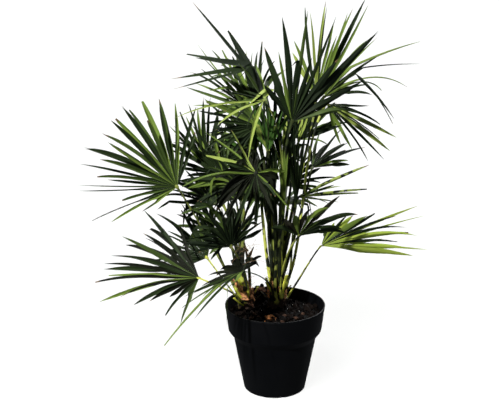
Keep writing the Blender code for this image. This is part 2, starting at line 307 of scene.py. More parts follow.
paintedShadowTone = (0.009, 0.014, 0.006)
# Shades partly of the leaves' own greens and partly painted light: night, shadow and deep are darkened as
# painted shade, and fresh, yellow and lit brightened as painted sunlight, for leaflets in the crown's shade
# and in the sun
leafShades = {
    "night": {"dark": (0.0042, 0.0058, 0.0030), "light": (0.0110, 0.0140, 0.0062), "shine": 0.10},
    "shadow": {"dark": (0.0065, 0.0120, 0.0055), "light": (0.0150, 0.0260, 0.0095), "shine": 0.12},
    "deep": {"dark": (0.012, 0.022, 0.008), "light": (0.026, 0.045, 0.013), "shine": 0.15},
    "green": {"dark": (0.038, 0.066, 0.014), "light": (0.080, 0.130, 0.027)},
    "fresh": {"dark": (0.110, 0.176, 0.029), "light": (0.205, 0.300, 0.054)},
    "yellow": {"dark": (0.215, 0.295, 0.052), "light": (0.370, 0.450, 0.112)},
    "lit": {"dark": (0.235, 0.355, 0.036), "light": (0.530, 0.650, 0.112)},
    "umber": {"dark": (0.0130, 0.0128, 0.0078), "light": (0.0300, 0.0295, 0.0170), "shine": 0.15},
    # painted glow of sun shining through a leaflet
    "emerald": {"dark": (0.026, 0.070, 0.014), "light": (0.095, 0.210, 0.036)},
    "dappled": {"dark": (0.215, 0.295, 0.052), "light": (0.370, 0.450, 0.112), "dapple": 52.0},
    "dry": {"dark": (0.100, 0.062, 0.030), "light": (0.240, 0.165, 0.085)},
}
leafFinish = {
    "mottle": (9.0, 210.0), "veins": 11.0, "veinShare": 0.22, "patchShare": 0.6, "ribShare": 0.3,
    "rough": (0.48, 0.70), "shine": 0.20, "bump": (0.5, 0.00025),
}


def makeLeafMaterial(shade):
    material, tree = newMaterial("leaf_" + shade)
    tones = leafShades[shade]
    look = leafFinish
    patches, grain = placeMottle(tree, *look["mottle"])
    veins = groupNode(tree, veinGroup, {"Veins": look["veins"], "Across": coordinate(tree, "UV")})
    mixed = blend(tree, veins["Vein"], look["veinShare"], patches, look["patchShare"])
    mixed = mathNode(tree, "MULTIPLY_ADD", veins["Midrib"], look["ribShare"], mixed)
    colour = mixColours(tree, mixed, tones["dark"], tones["light"])
    # painted shadows of other leaves in patches over a sunlit leaflet
    if "dapple" in tones:
        colour = addPaintedShadows(tree, colour, tones["dapple"])
    low, high = look["rough"]
    return finishMaterial(material, {
        "Base Color": colour,
        "Roughness": mathNode(tree, "MULTIPLY_ADD", grain, high - low, low),
        "Specular IOR Level": tones.get("shine", look["shine"]),
        "Normal": bump(tree, veins["Vein"], *look["bump"]),
    })


# Two tones at the foot and two further up, and the heights between which a stalk goes from one to the other
# The shades are partly painted light: bright, green and cut are sunlit copies with painted sunlight, cut
# brightened so that the stubs look sunlit in the crown's shade, and deep is a copy darkened as painted shade
stalkShades = {
    "bright": {
        "foot": ((0.46, 0.52, 0.055), (0.78, 0.80, 0.150)),
        "upper": ((0.260, 0.325, 0.055), (0.580, 0.640, 0.140)),
        "fade": (0.37, 0.52),
    },
    "green": {
        "foot": ((0.34, 0.37, 0.055), (0.68, 0.70, 0.130)),
        "upper": ((0.135, 0.180, 0.034), (0.370, 0.430, 0.090)),
        "fade": (0.28, 0.46),
    },
    "cut": {
        "foot": ((0.72, 0.78, 0.060), (0.94, 0.96, 0.140)),
        "upper": ((0.72, 0.78, 0.060), (0.94, 0.96, 0.140)),
        "fade": (0.30, 0.40),
    },
    "deep": {
        "foot": ((0.038, 0.034, 0.014), (0.105, 0.100, 0.030)),
        "upper": ((0.018, 0.026, 0.009), (0.054, 0.074, 0.017)),
        "fade": (0.26, 0.36),
    },
}
stalkFinish = {
    "mottle": (26.0, 240.0), "fadeJitter": 0.05, "dapple": 36.0, "rough": (-1.2, 1.6), "shine": 0.35,
    "bump": (0.25, 0.0004),
    "sheath": ((0.016, 0.009, 0.007), (0.075, 0.040, 0.026)),    # brown, at the foot
    "sheathHeights": (0.270, 0.290), "sheathSlope": -0.24, "sheathJitter": 0.03,
}


def makeStalkMaterial(shade):
    material, tree = newMaterial("stalk_" + shade)
    tones = stalkShades[shade]
    look = stalkFinish
    patches, grain = placeMottle(tree, *look["mottle"])
    x, _, z = addNode(tree, "ShaderNodeSeparateXYZ", {0: coordinate(tree, "Object")}).outputs
    height = spread(tree, mathNode(tree, "MULTIPLY_ADD", patches, look["fadeJitter"], z), *tones["fade"])
    foot = mixColours(tree, grain, *tones["foot"])
    upper = mixColours(tree, patches, *tones["upper"])
    colour = mixColours(tree, height, foot, upper)
    # all but the cut stalks get painted leaf shadows in patches, and a brown sheath at the foot
    if shade != "cut":
        colour = addPaintedShadows(tree, colour, look["dapple"])
        level = mathNode(tree, "MULTIPLY_ADD", x, look["sheathSlope"], z)
        level = mathNode(tree, "MULTIPLY_ADD", patches, look["sheathJitter"], level)
        brown = mixColours(tree, grain, *look["sheath"])
        colour = mixColours(tree, spread(tree, level, *look["sheathHeights"]), brown, colour)
    return finishMaterial(material, {
        "Base Color": colour,
        "Roughness": spread(tree, grain, *look["rough"]),
        "Specular IOR Level": look["shine"],
        "Normal": bump(tree, grain, *look["bump"]),
    })


# What all fibres share, and what soil and bark do: the scale of patches, the shares of grain and patches
# in the colour, the range of the roughness, the shine and the bump
coarseFinish = {
    "fibre": {"scale": 70.0, "shares": (0.5, 0.5), "rough": (-2.6, 1.2), "shine": 0.5, "bump": (0.6, 0.0006)},
    "soil": {"scale": 42.0, "shares": (0.6, 0.4), "rough": (-3.0, 1.3), "shine": 0.05, "bump": (0.8, 0.0015)},
}
# A finish, a name, a dark and a light tone, the scale of the grain, and the contrast of its specks
coarseMaterials = {
    "fibre": ("fibre", "fibre_brown", (0.050, 0.020, 0.012), (0.24, 0.105, 0.052), 420.0),
    "fibrePale": ("fibre", "fibre_straw", (0.16, 0.095, 0.048), (0.40, 0.270, 0.150), 420.0),
    "fibreCloth": ("fibre", "fibre_cloth", (0.0005, 0.0002, 0.0002), (0.97, 0.460, 0.190), 150.0,
                   (0.45, 0.50)),
    "core": ("fibre", "stem_core", (0.012, 0.007, 0.005), (0.060, 0.030, 0.018), 420.0),
    "soil": ("soil", "soil_dark", (0.0002, 0.0002, 0.0002), (0.0013, 0.0010, 0.0009), 330.0),
    "bark": ("soil", "bark_brown", (0.0003, 0.0002, 0.0002), (0.0105, 0.0068, 0.0053), 260.0),
    "barkWarm": ("soil", "bark_warm", (0.0050, 0.0030, 0.0022), (0.080, 0.042, 0.028), 240.0),
    "barkOrange": ("soil", "bark_orange", (0.14, 0.050, 0.018), (0.42, 0.180, 0.070), 220.0),
    "perlite": ("soil", "perlite_white", (0.42, 0.42, 0.40), (0.80, 0.80, 0.78), 500.0),
}
potFinish = {
    "mottle": (8.0, 900.0), "shares": (0.3, 0.5), "rough": (0.12, 0.46), "shine": 0.16,
    "bump": (0.18, 0.0003), "dark": (0.0007, 0.0010, 0.0017), "light": (0.0021, 0.0025, 0.0035),
}


def makeCoarseMaterial(finish, name, dark, light, fine, specks=None):
    material, tree = newMaterial(name)
    look = coarseFinish[finish]
    patches, grain = placeMottle(tree, look["scale"], fine)
    marks = spread(tree, grain, *specks) if specks else grain
    grainShare, patchShare = look["shares"]
    return finishMaterial(material, {
        "Base Color": mixColours(tree, blend(tree, marks, grainShare, patches, patchShare), dark, light),
        "Roughness": spread(tree, grain, *look["rough"]),
        "Specular IOR Level": look["shine"],
        "Normal": bump(tree, grain, *look["bump"]),
    })


def makePotMaterial():
    material, tree = newMaterial("pot_black")
    look = potFinish
    patches, grain = placeMottle(tree, *look["mottle"])
    grainShare, patchShare = look["shares"]
    mixed = blend(tree, grain, grainShare, patches, patchShare)
    return finishMaterial(material, {
        "Base Color": mixColours(tree, mixed, look["dark"], look["light"]),
        "Roughness": mathNode(tree, "MULTIPLY_ADD", patches, *look["rough"]),
        "Specular IOR Level": look["shine"],
        "Normal": bump(tree, grain, *look["bump"]),
    })


materials = {shade: makeLeafMaterial(shade) for shade in leafShades}
materials.update({"stalk_" + shade: makeStalkMaterial(shade) for shade in stalkShades})
materials.update({label: makeCoarseMaterial(*row) for label, row in coarseMaterials.items()})
materials["pot"] = makePotMaterial()
print("materials made:", len(materials))


# Putting finished meshes on the frame

sharpAngle = 32.0


def finishPiece(piece, nodes=()):
    for polygon in piece.data.polygons:
        polygon.use_smooth = True
    piece.data.set_sharp_from_angle(angle=math.radians(sharpAngle))
    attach(piece, "root")
    if nodes:
        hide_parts(*nodes)
    print(piece.name, "made with", len(piece.data.polygons), "faces")


def meshPiece(name, points, faces, material, marks=None):
    mesh = bpy.data.meshes.new(name)
    mesh.from_pydata([tuple(point) for point in points], [], faces)
    if marks:
        layer = mesh.uv_layers.new(name="UVMap")
        for loop in mesh.loops:
            layer.data[loop.index].uv = marks[loop.vertex_index]
    work = bmesh.new()
    work.from_mesh(mesh)
    bmesh.ops.recalc_face_normals(work, faces=work.faces)
    work.to_mesh(mesh)
    work.free()
    mesh.materials.append(material)
    return addObject(name, mesh)


# Geometry node trees: chips scattered on a surface, and strands along drawn lines

def endTree(tree, given, result, geometry):
    realize = addNode(tree, "GeometryNodeRealizeInstances", {0: geometry})
    values = {"Geometry": realize.outputs[0], "Material": given["Material"]}
    feed(tree, result["Geometry"], addNode(tree, "GeometryNodeSetMaterial", values).outputs[0])
    return tree


def buildScatterTree():
    inputs = {"Geometry": "Geometry", "Chip": "Object", "Density": "Float", "Smallest": "Float",
              "Largest": "Float", "Seed": "Int", "Material": "Material"}
    tree, given, result = newTree("GeometryNodeTree", "scatterChips", inputs, {"Geometry": "Geometry"})
    seed = given["Seed"]
    scatter = addNode(tree, "GeometryNodeDistributePointsOnFaces",
                      {"Mesh": given["Geometry"], "Density": given["Density"], "Seed": seed})
    chip = addNode(tree, "GeometryNodeObjectInfo", {"Object": given["Chip"]})
    turn = addNode(tree, "FunctionNodeRandomValue", {1: (math.tau, math.tau, math.tau), "Seed": seed},
                   data_type="FLOAT_VECTOR")
    size = addNode(tree, "FunctionNodeRandomValue", {2: given["Smallest"], 3: given["Largest"], "Seed": seed},
                   data_type="FLOAT")
    place = addNode(tree, "GeometryNodeInstanceOnPoints", {
        "Points": scatter.outputs["Points"], "Instance": chip.outputs["Geometry"],
        "Rotation": turn.outputs[0], "Scale": size.outputs[1],
    })
    return endTree(tree, given, result, place.outputs["Instances"])


def buildStrandTree():
    inputs = {"Geometry": "Geometry", "Radius": "Float", "Sides": "Int", "Material": "Material"}
    tree, given, result = newTree("GeometryNodeTree", "drawStrands", inputs, {"Geometry": "Geometry"})
    curve = addNode(tree, "GeometryNodeMeshToCurve", {"Mesh": given["Geometry"]})
    ring = addNode(tree, "GeometryNodeCurvePrimitiveCircle",
                   {"Radius": given["Radius"], "Resolution": given["Sides"]})
    tube = addNode(tree, "GeometryNodeCurveToMesh", {
        "Curve": curve.outputs["Curve"], "Profile Curve": ring.outputs["Curve"], "Fill Caps": True,
    })
    return endTree(tree, given, result, tube.outputs["Mesh"])


scatterTree = buildScatterTree()
strandTree = buildStrandTree()


def runTree(name, source, tree, values):
    modifier = source.modifiers.new(tree.name, "NODES")
    modifier.node_group = tree
    for item in tree.interface.items_tree:
        if item.in_out == "INPUT" and item.name in values:
            modifier[item.identifier] = values[item.name]
    graph = bpy.context.evaluated_depsgraph_get()
    mesh = bpy.data.meshes.new_from_object(source.evaluated_get(graph))
    mesh.name = name
    source.modifiers.remove(modifier)
    return addObject(name, mesh)


def strandPiece(name, lines, radius, sides, material):
    points = []
    edges = []
    for line in lines:
        start = len(points)
        points += [tuple(point) for point in line]
        edges += [(start + step, start + step + 1) for step in range(len(line) - 1)]
    mesh = bpy.data.meshes.new(name + "Lines")
    mesh.from_pydata(points, edges, [])
    source = addObject(name + "Lines", mesh)
    piece = runTree(name, source, strandTree, {"Radius": radius, "Sides": sides, "Material": material})
    bpy.data.objects.remove(source)
    return piece


# Pot

potShape = {
    "rimRadius": 0.150, "rimThickness": 0.0035, "height": 0.267,
    "bandFootRadius": 0.140, "bandFootHeight": 0.190,
    "bodyTopRadius": 0.1245, "bodyTopHeight": 0.169,
    "footRadius": 0.0930, "footInset": 0.0008, "wall": 0.003, "sides": 160, "roundSteps": 5,
    # the hollow ring under the foot: share of the foot's radius, height, rounding
    "underside": ((0.72, 0.0, 0.0), (0.75, 0.0018, 0.0012), (0.86, 0.0018, 0.0012), (0.89, 0.0, 0.0012)),
    # the ridge under the rim: depths of its lower and upper edge, where the upper one's radius is taken,
    # and how far it stands out
    "ridge": (0.0085, 0.0072, 0.0075, 0.0006),
    # the inside: its step behind the band and the height of that above the band's foot, and its step
    # behind the body
    "insideStep": (0.0098, 0.012, 0.0045),
    "roundMost": 0.45,               # share of an edge that a rounding can take
    "rounding": {"foot": 0.005, "body": 0.004, "band": 0.003, "ridge": 0.001, "lip": 0.0014, "floor": 0.002},
}


def roundedOutline(corners, steps):
    outline = []
    for index, (radius, height, rounding) in enumerate(corners):
        here = Vector((radius, height))
        if rounding == 0.0:
            outline.append(here)
            continue
        before = Vector(corners[index - 1][:2]) - here
        after = Vector(corners[(index + 1) % len(corners)][:2]) - here
        reach = min(rounding, before.length * potShape["roundMost"], after.length * potShape["roundMost"])
        start = here + before.normalized() * reach
        end = here + after.normalized() * reach
        for step in range(steps + 1):
            share = step / steps
            first = start.lerp(here, share)
            outline.append(first.lerp(here.lerp(end, share), share))
    return outline


def lathe(outline, sides):
    points = []
    rings = []
    for radius, height in outline:
        if radius == 0.0:
            rings.append([len(points)])
            points.append(Vector((0.0, 0.0, height)))
            continue
        rings.append(list(range(len(points), len(points) + sides)))
        for step in range(sides):
            angle = math.tau * step / sides
            points.append(Vector((radius * math.cos(angle), radius * math.sin(angle), height)))
    faces = []
    for lower, upper in zip(rings, rings[1:]):
        for step in range(sides):
            after = (step + 1) % sides
            corners = [lower[step % len(lower)], lower[after % len(lower)]]
            corners += [upper[after % len(upper)], upper[step % len(upper)]]
            faces.append(tuple(dict.fromkeys(corners)))
    return points, faces


def bandRadius(height):
    share = (height - potShape["bandFootHeight"]) / (potShape["height"] - potShape["bandFootHeight"])
    return potShape["bandFootRadius"] + (potShape["rimRadius"] - potShape["bandFootRadius"]) * share


def makePot():
    size = potShape
    top = size["height"]
    foot = size["footRadius"]
    inner = size["rimRadius"] - size["rimThickness"]
    rounding = size["rounding"]
    low, high, measured, out = size["ridge"]
    bandStep, bandStepUp, bodyStep = size["insideStep"]
    corners = [
        (0.0, 0.0, 0.0),
        *((foot * share, height, rounded) for share, height, rounded in size["underside"]),
        (foot - size["footInset"], 0.0, rounding["foot"]),
        (size["bodyTopRadius"], size["bodyTopHeight"], rounding["body"]),
        (size["bandFootRadius"], size["bandFootHeight"], rounding["band"]),
        (bandRadius(top - low), top - low, rounding["ridge"]),
        (bandRadius(top - measured) + out, top - high, rounding["ridge"]),
        (size["rimRadius"], top, rounding["lip"]),
        (inner, top, rounding["lip"]),
        (inner - bandStep, size["bandFootHeight"] + bandStepUp, rounding["band"]),
        (size["bodyTopRadius"] - bodyStep, size["bodyTopHeight"], rounding["body"]),
        (foot - size["wall"], size["wall"], rounding["floor"]),
        (0.0, size["wall"], 0.0),
    ]
    points, faces = lathe(roundedOutline(corners, size["roundSteps"]), size["sides"])
    finishPiece(meshPiece("pot_shell", points, faces, materials["pot"]), ["pot"])


makePot()


# Soil, bark chips and perlite

soilShape = {
    "edgeHeight": 0.2325, "middleHeight": 0.2385, "slopeStart": 0.120, "slopeWidth": 0.024,
    "rings": 46, "sides": 120, "roughness": 0.0052, "roughScale": 48.0,
    "fineRoughness": 0.0026, "fineScale": 150.0, "noisePlanes": (0.3, 1.7),
    "mound": {"place": (-0.040, 0.094), "radius": 0.022, "height": 0.056},
    "clearRings": 4,                 # rings at the wall that get no chips
    "footDepth": 0.030, "footInset": 0.985,
    "wallGap": 0.0004, "bodyGap": 0.0058,
}
chips = {
    "dark": {"Density": 5200.0, "Smallest": 0.0026, "Largest": 0.0096, "Seed": 4, "Material": "bark"},
    "soilCrumbs": {"Density": 9000.0, "Smallest": 0.0014, "Largest": 0.0042, "Seed": 9, "Material": "soil"},
    "white": {"Density": 420.0, "Smallest": 0.0009, "Largest": 0.0017, "Seed": 23, "Material": "perlite"},
    "orange": {"Density": 70.0, "Smallest": 0.0020, "Largest": 0.0042, "Seed": 31, "Material": "barkOrange"},
}
chipShape = {
    "jitter": (0.68, 1.25), "stretch": 1.45, "flat": ("chipShape", 5, 0.45), "round": ("crumbShape", 8, 0.85),
    "bigFlatness": 0.55, "bigFirstSeed": 40, "bigRaise": 0.25, "bigTilt": 0.25,
}
# A big chip's place on the soil, its size and its turn
bigChips = {
    "barkOrange": ((-0.013, -0.052, 0.0150, 0.5), (-0.004, -0.060, 0.0080, 1.9)),
    "barkWarm": (
        (0.062, -0.052, 0.0085, 2.6), (-0.070, -0.055, 0.0095, 0.9), (-0.044, 0.086, 0.0110, 0.4),
        (-0.032, 0.086, 0.0100, 1.7), (-0.050, 0.078, 0.0080, 2.9), (-0.062, -0.020, 0.0080, 2.2),
        (-0.048, -0.040, 0.0070, 1.2), (0.028, -0.030, 0.0075, 0.2), (0.084, -0.010, 0.0080, 1.1),
        (0.020, -0.076, 0.0070, 2.5), (0.030, 0.104, 0.0080, 0.8),
    ),
}


def potInside(height):
    if height >= potShape["bandFootHeight"]:
        return bandRadius(height) - potShape["rimThickness"] - soilShape["wallGap"]
    return potShape["bodyTopRadius"] - soilShape["bodyGap"]


def soilHeightAt(x, y):
    size = soilShape
    share = max(0.0, math.hypot(x, y) - size["slopeStart"]) / size["slopeWidth"]
    base = size["middleHeight"] + (size["edgeHeight"] - size["middleHeight"]) * min(1.0, share)
    plane, finePlane = size["noisePlanes"]
    rough = noise.noise(Vector((x, y, plane)) * size["roughScale"]) * size["roughness"]
    rough += noise.noise(Vector((x, y, finePlane)) * size["fineScale"]) * size["fineRoughness"]
    mound = size["mound"]
    off = math.hypot(x - mound["place"][0], y - mound["place"][1]) / mound["radius"]
    return base + rough + mound["height"] * math.exp(-2.0 * off * off)


def makeSoil():
    size = soilShape
    points = [Vector((0.0, 0.0, soilHeightAt(0.0, 0.0)))]
    faces = []
    clear = []
    outside = potInside(size["edgeHeight"])
    sides = size["sides"]
    for ring in range(1, size["rings"] + 1):
        radius = outside * ring / size["rings"]
        for step in range(sides):
            angle = math.tau * step / sides
            x = radius * math.cos(angle)
            y = radius * math.sin(angle)
            points.append(Vector((x, y, soilHeightAt(x, y))))
    for step in range(sides):
        after = (step + 1) % sides
        faces.append((0, 1 + step, 1 + after))
        for ring in range(size["rings"] - 1):
            low = 1 + ring * sides
            high = low + sides
            faces.append((low + step, high + step, high + after, low + after))
            if ring < size["rings"] - size["clearRings"]:
                clear.append(faces[-1])
    foot = len(points)
    rim = foot - sides
    for edge in points[rim:foot]:
        points.append(Vector((edge.x * size["footInset"], edge.y * size["footInset"],
                              size["edgeHeight"] - size["footDepth"])))
    for step in range(sides):
        after = (step + 1) % sides
        faces.append((rim + step, foot + step, foot + after, rim + after))
    faces.append(tuple(foot + step for step in reversed(range(sides))))
    finishPiece(meshPiece("soil_bed", points, faces, materials["soil"]), ["soil"])
    surface = bpy.data.meshes.new("soilSurface")
    surface.from_pydata([tuple(point) for point in points[:foot]], [], clear)
    return addObject("soilSurface", surface)


def makeChipShape(name, seed, flatness):
    dice = random.Random(seed)
    work = bmesh.new()
    bmesh.ops.create_icosphere(work, subdivisions=1, radius=1.0)
    for vertex in work.verts:
        vertex.co *= dice.uniform(*chipShape["jitter"])
        vertex.co.x *= chipShape["stretch"]
        vertex.co.z *= flatness
    mesh = bpy.data.meshes.new(name)
    work.to_mesh(mesh)
    work.free()
    return addObject(name, mesh)


def makeChips(surface):
    shapes = {label: makeChipShape(*chipShape[label]) for label in ("flat", "round")}
    for label, row in chips.items():
        shape = shapes["flat" if label in ("dark", "orange") else "round"]
        values = dict(row, Chip=shape, Material=materials[row["Material"]])
        finishPiece(runTree("soil_chips_" + label, surface, scatterTree, values))
    rows = [(material, row) for material, places in bigChips.items() for row in places]
    for number, (material, (x, y, size, turned)) in enumerate(rows):
        chip = makeChipShape("bark_chip_%d" % (number + 1), chipShape["bigFirstSeed"] + number,
                             chipShape["bigFlatness"])
        place = Matrix.Translation((x, y, soilHeightAt(x, y) + size * chipShape["bigRaise"]))
        turn = Matrix.Rotation(turned, 4, "Z") @ Matrix.Rotation(chipShape["bigTilt"], 4, "X")
        chip.data.transform(place @ turn @ Matrix.Scale(size, 4))
        chip.data.materials.append(materials[material])
        finishPiece(chip)
    for shape in (*shapes.values(), surface):
        bpy.data.objects.remove(shape)


makeChips(makeSoil())
print("pot and soil made")


# The palm's plan: the same fans, stalks and stems as the frame's solids

soilTop = 0.239
seatGap = 0.0003
stems = {
    "left": {"foot": (-0.085, 0.040), "lean": (-0.018, 0.0), "height": 0.090, "radius": 0.0195},
    "right": {"foot": (0.006, 0.048), "lean": (0.003, 0.0), "height": 0.106, "radius": 0.0225},
}
stemFlare = 1.22
stemTaper = 0.90
stalkPlan = {
    "footWidths": (0.0058, 0.0066, 0.0078), "topWidth": 0.0031, "flatness": 0.62, "narrowing": 1.3,
    "ringHeights": (0.24, 0.62), "leavePull": 0.22, "leaveTilt": 0.45, "arrivePull": 0.24,
    "arriveShare": 0.6, "tierShares": (0.0, 0.40, 0.74, 1.0), "tipInset": 0.9, "footSpacing": 1.25,
    "spreadRounds": 200, "bows": (0.0, 0.012, -0.012, 0.024, -0.024, 0.036, -0.036), "bowSteps": 20,
    "sides": 6,
}
tipTier = 2                          # the tier of the stalks that stand on the tip
photoDirection = Vector((0.0, 0.95, -0.31)).normalized()

# A fan's hub and reach in mm; heading and climb of its midrib, turn about the midrib and first
# and last leaflet angle in degrees; number of leaflets; sag of the tips in percent of the reach
Fan = collections.namedtuple("Fan", "hub heading climb reach turn spread leaflets sag")
fans = {
    "left": (
        Fan((-286, -20, 637), -174, 47, 300, 12, (-60, 60), 16, 4),
        Fan((-204, 120, 656), 101, 73, 215, 20, (-50, 50), 12, 4),
        Fan((-129, -120, 488), -111, 68, 172, 15, (-70, 75), 12, 10),
        Fan((-223, -80, 379), -172, 15, 322, 42, (-30, 58), 13, 8),
        Fan((-204, 50, 395), 157, 32, 215, -30, (-55, 60), 12, 5),
        Fan((-104, 0, 635), -154, 32, 163, -25, (-60, 55), 12, 10),
        Fan((-185, 120, 454), 134, 26, 154, -20, (-55, 55), 11, 10),
        Fan((-163, 240, 504), 107, 22, 225, 10, (-50, 50), 11, 12),
        Fan((-106, 200, 428), 101, 6, 225, 0, (-50, 50), 11, 15),
    ),
    "right": (
        Fan((43, -80, 844), -27, 73, 306, 10, (-50, 50), 13, 3),
        Fan((119, 100, 868), 28, 76, 292, -10, (-40, 42), 13, 2),
        Fan((136, 0, 898), 5, 40, 318, 35, (-38, 40), 10, 22),
        Fan((152, 120, 852), 11, -30, 233, 30, (-30, 36), 10, 10),
        Fan((111, 120, 656), 51, 15, 215, -30, (-45, 45), 11, 8),
        Fan((70, 60, 583), 16, 9, 218, 70, (-40, 32), 9, 5),
        Fan((64, -120, 521), -22, 50, 168, 40, (-80, 45), 11, 10),
        Fan((134, -20, 457), -12, 17, 312, 65, (-40, 36), 12, 6),
        Fan((-23, 20, 868), 174, 53, 350, 76, (-32, 32), 9, 2),
        Fan((-81, 160, 831), 138, 46, 213, -20, (-50, 50), 12, 4),
        Fan((-36, -80, 907), -153, -7, 175, 45, (-45, 40), 9, 12),
        Fan((-58, -130, 710), -134, -20, 200, 0, (-80, 78), 14, 8),
        Fan((20, -82, 554), 0, 90, 215, 0, (-4, 4), 5, 0),
        Fan((-22, 60, 727), 92, 36, 173, 0, (-42, 42), 11, 4),
        Fan((76, 262, 704), 76, 44, 225, 0, (-46, 46), 10, 10),
        Fan((-74, 256, 708), 122, 24, 225, 10, (-46, 46), 10, 10),
        Fan((31, 240, 504), 85, 4, 242, 0, (-50, 50), 11, 15),
        Fan((-95, -170, 433), -140, -14, 265, 72, (-40, 40), 11, 12),
    ),
}

# Fronds that share a neighbour's solid: young and hidden ones that fill the middle of the crown
extraFans = {
    "left": (
        Fan((-150, 70, 640), -176, 42, 200, 10, (-55, 55), 13, 8),
        Fan((-118, 110, 560), 150, 48, 190, -15, (-60, 55), 12, 10),
        Fan((-175, 60, 560), 165, 20, 190, 30, (-50, 60), 12, 14),
        Fan((-130, 30, 470), -160, 30, 160, 10, (-60, 60), 11, 12),
        Fan((-102, 120, 545), 58, 52, 170, -10, (-50, 50), 11, 10),
    ),
    "right": (
        Fan((-52, 60, 800), -168, 18, 190, 10, (-60, 50), 13, 10),
        Fan((-60, 130, 850), 120, 62, 190, 0, (-50, 50), 12, 5),
        Fan((-8, 130, 745), 100, 66, 190, 20, (-50, 50), 12, 6),
        Fan((70, 110, 745), 62, 52, 190, -20, (-50, 50), 12, 8),
        Fan((30, 120, 600), 40, 34, 180, 20, (-55, 50), 11, 10),
        Fan((-70, 90, 710), 172, -6, 175, 15, (-60, 60), 12, 12),
        Fan((-30, 10, 640), -120, -52, 125, 0, (-60, 60), 10, 8),
        Fan((-20, 150, 620), 130, 20, 180, 0, (-60, 60), 11, 12),
        Fan((20, 100, 665), 80, 68, 160, 0, (-36, 36), 11, 4),
        Fan((60, 20, 566), -100, 88, 250, 0, (-9, 9), 7, 0),
        Fan((-5, 0, 590), 180, 88, 165, 0, (-8, 8), 5, 0),
        Fan((-22, 60, 722), 110, 82, 185, 0, (-30, 30), 10, 2),
        Fan((-66, 100, 690), 140, 62, 170, 0, (-40, 40), 10, 4),
    ),
}

# What the leaves of each fan look like, where it differs from the ordinary fan
ordinaryFan = {
    "leaflets": 1.15,                # times the solid's count
    "shades": {"deep": 6, "green": 4, "fresh": 1},
    "fold": (30.0, 52.0),            # slope of each half of a leaflet, degrees
    "webShare": 0.30,
    "webSlope": 42.0,
    "length": (0.66, 1.04),
    "sideLength": 0.74,
    "lift": 13.0,
    "bend": 8.0,
    "droop": (0.0, 0.5),
    "twist": 38.0,
    "roll": 0.0,                     # turns all the leaflets of a fan that is seen edge on
    "cup": 3.0,                      # degrees by which the leaflets leave the fan's plane
    "kinked": 0.14,
    "wide": 0.0160,
    "taper": (1.7, 3.6),             # low runs out to a long point, high keeps the width
    "blunt": 0.25,
}
middleFan = dict(shades=dict(shadow=4, deep=6, green=3, fresh=1), kinked=0.24, droop=(0.0, 0.8), lift=18.0)
foldedFan = dict(leaflets=1.4, fold=(56.0, 68.0), webSlope=58.0, webShare=0.72, lift=2.0, bend=1.5,
                 droop=(0.0, 0.0), twist=8.0, kinked=0.0, sideLength=0.85, length=(0.80, 1.02), wide=0.0100)
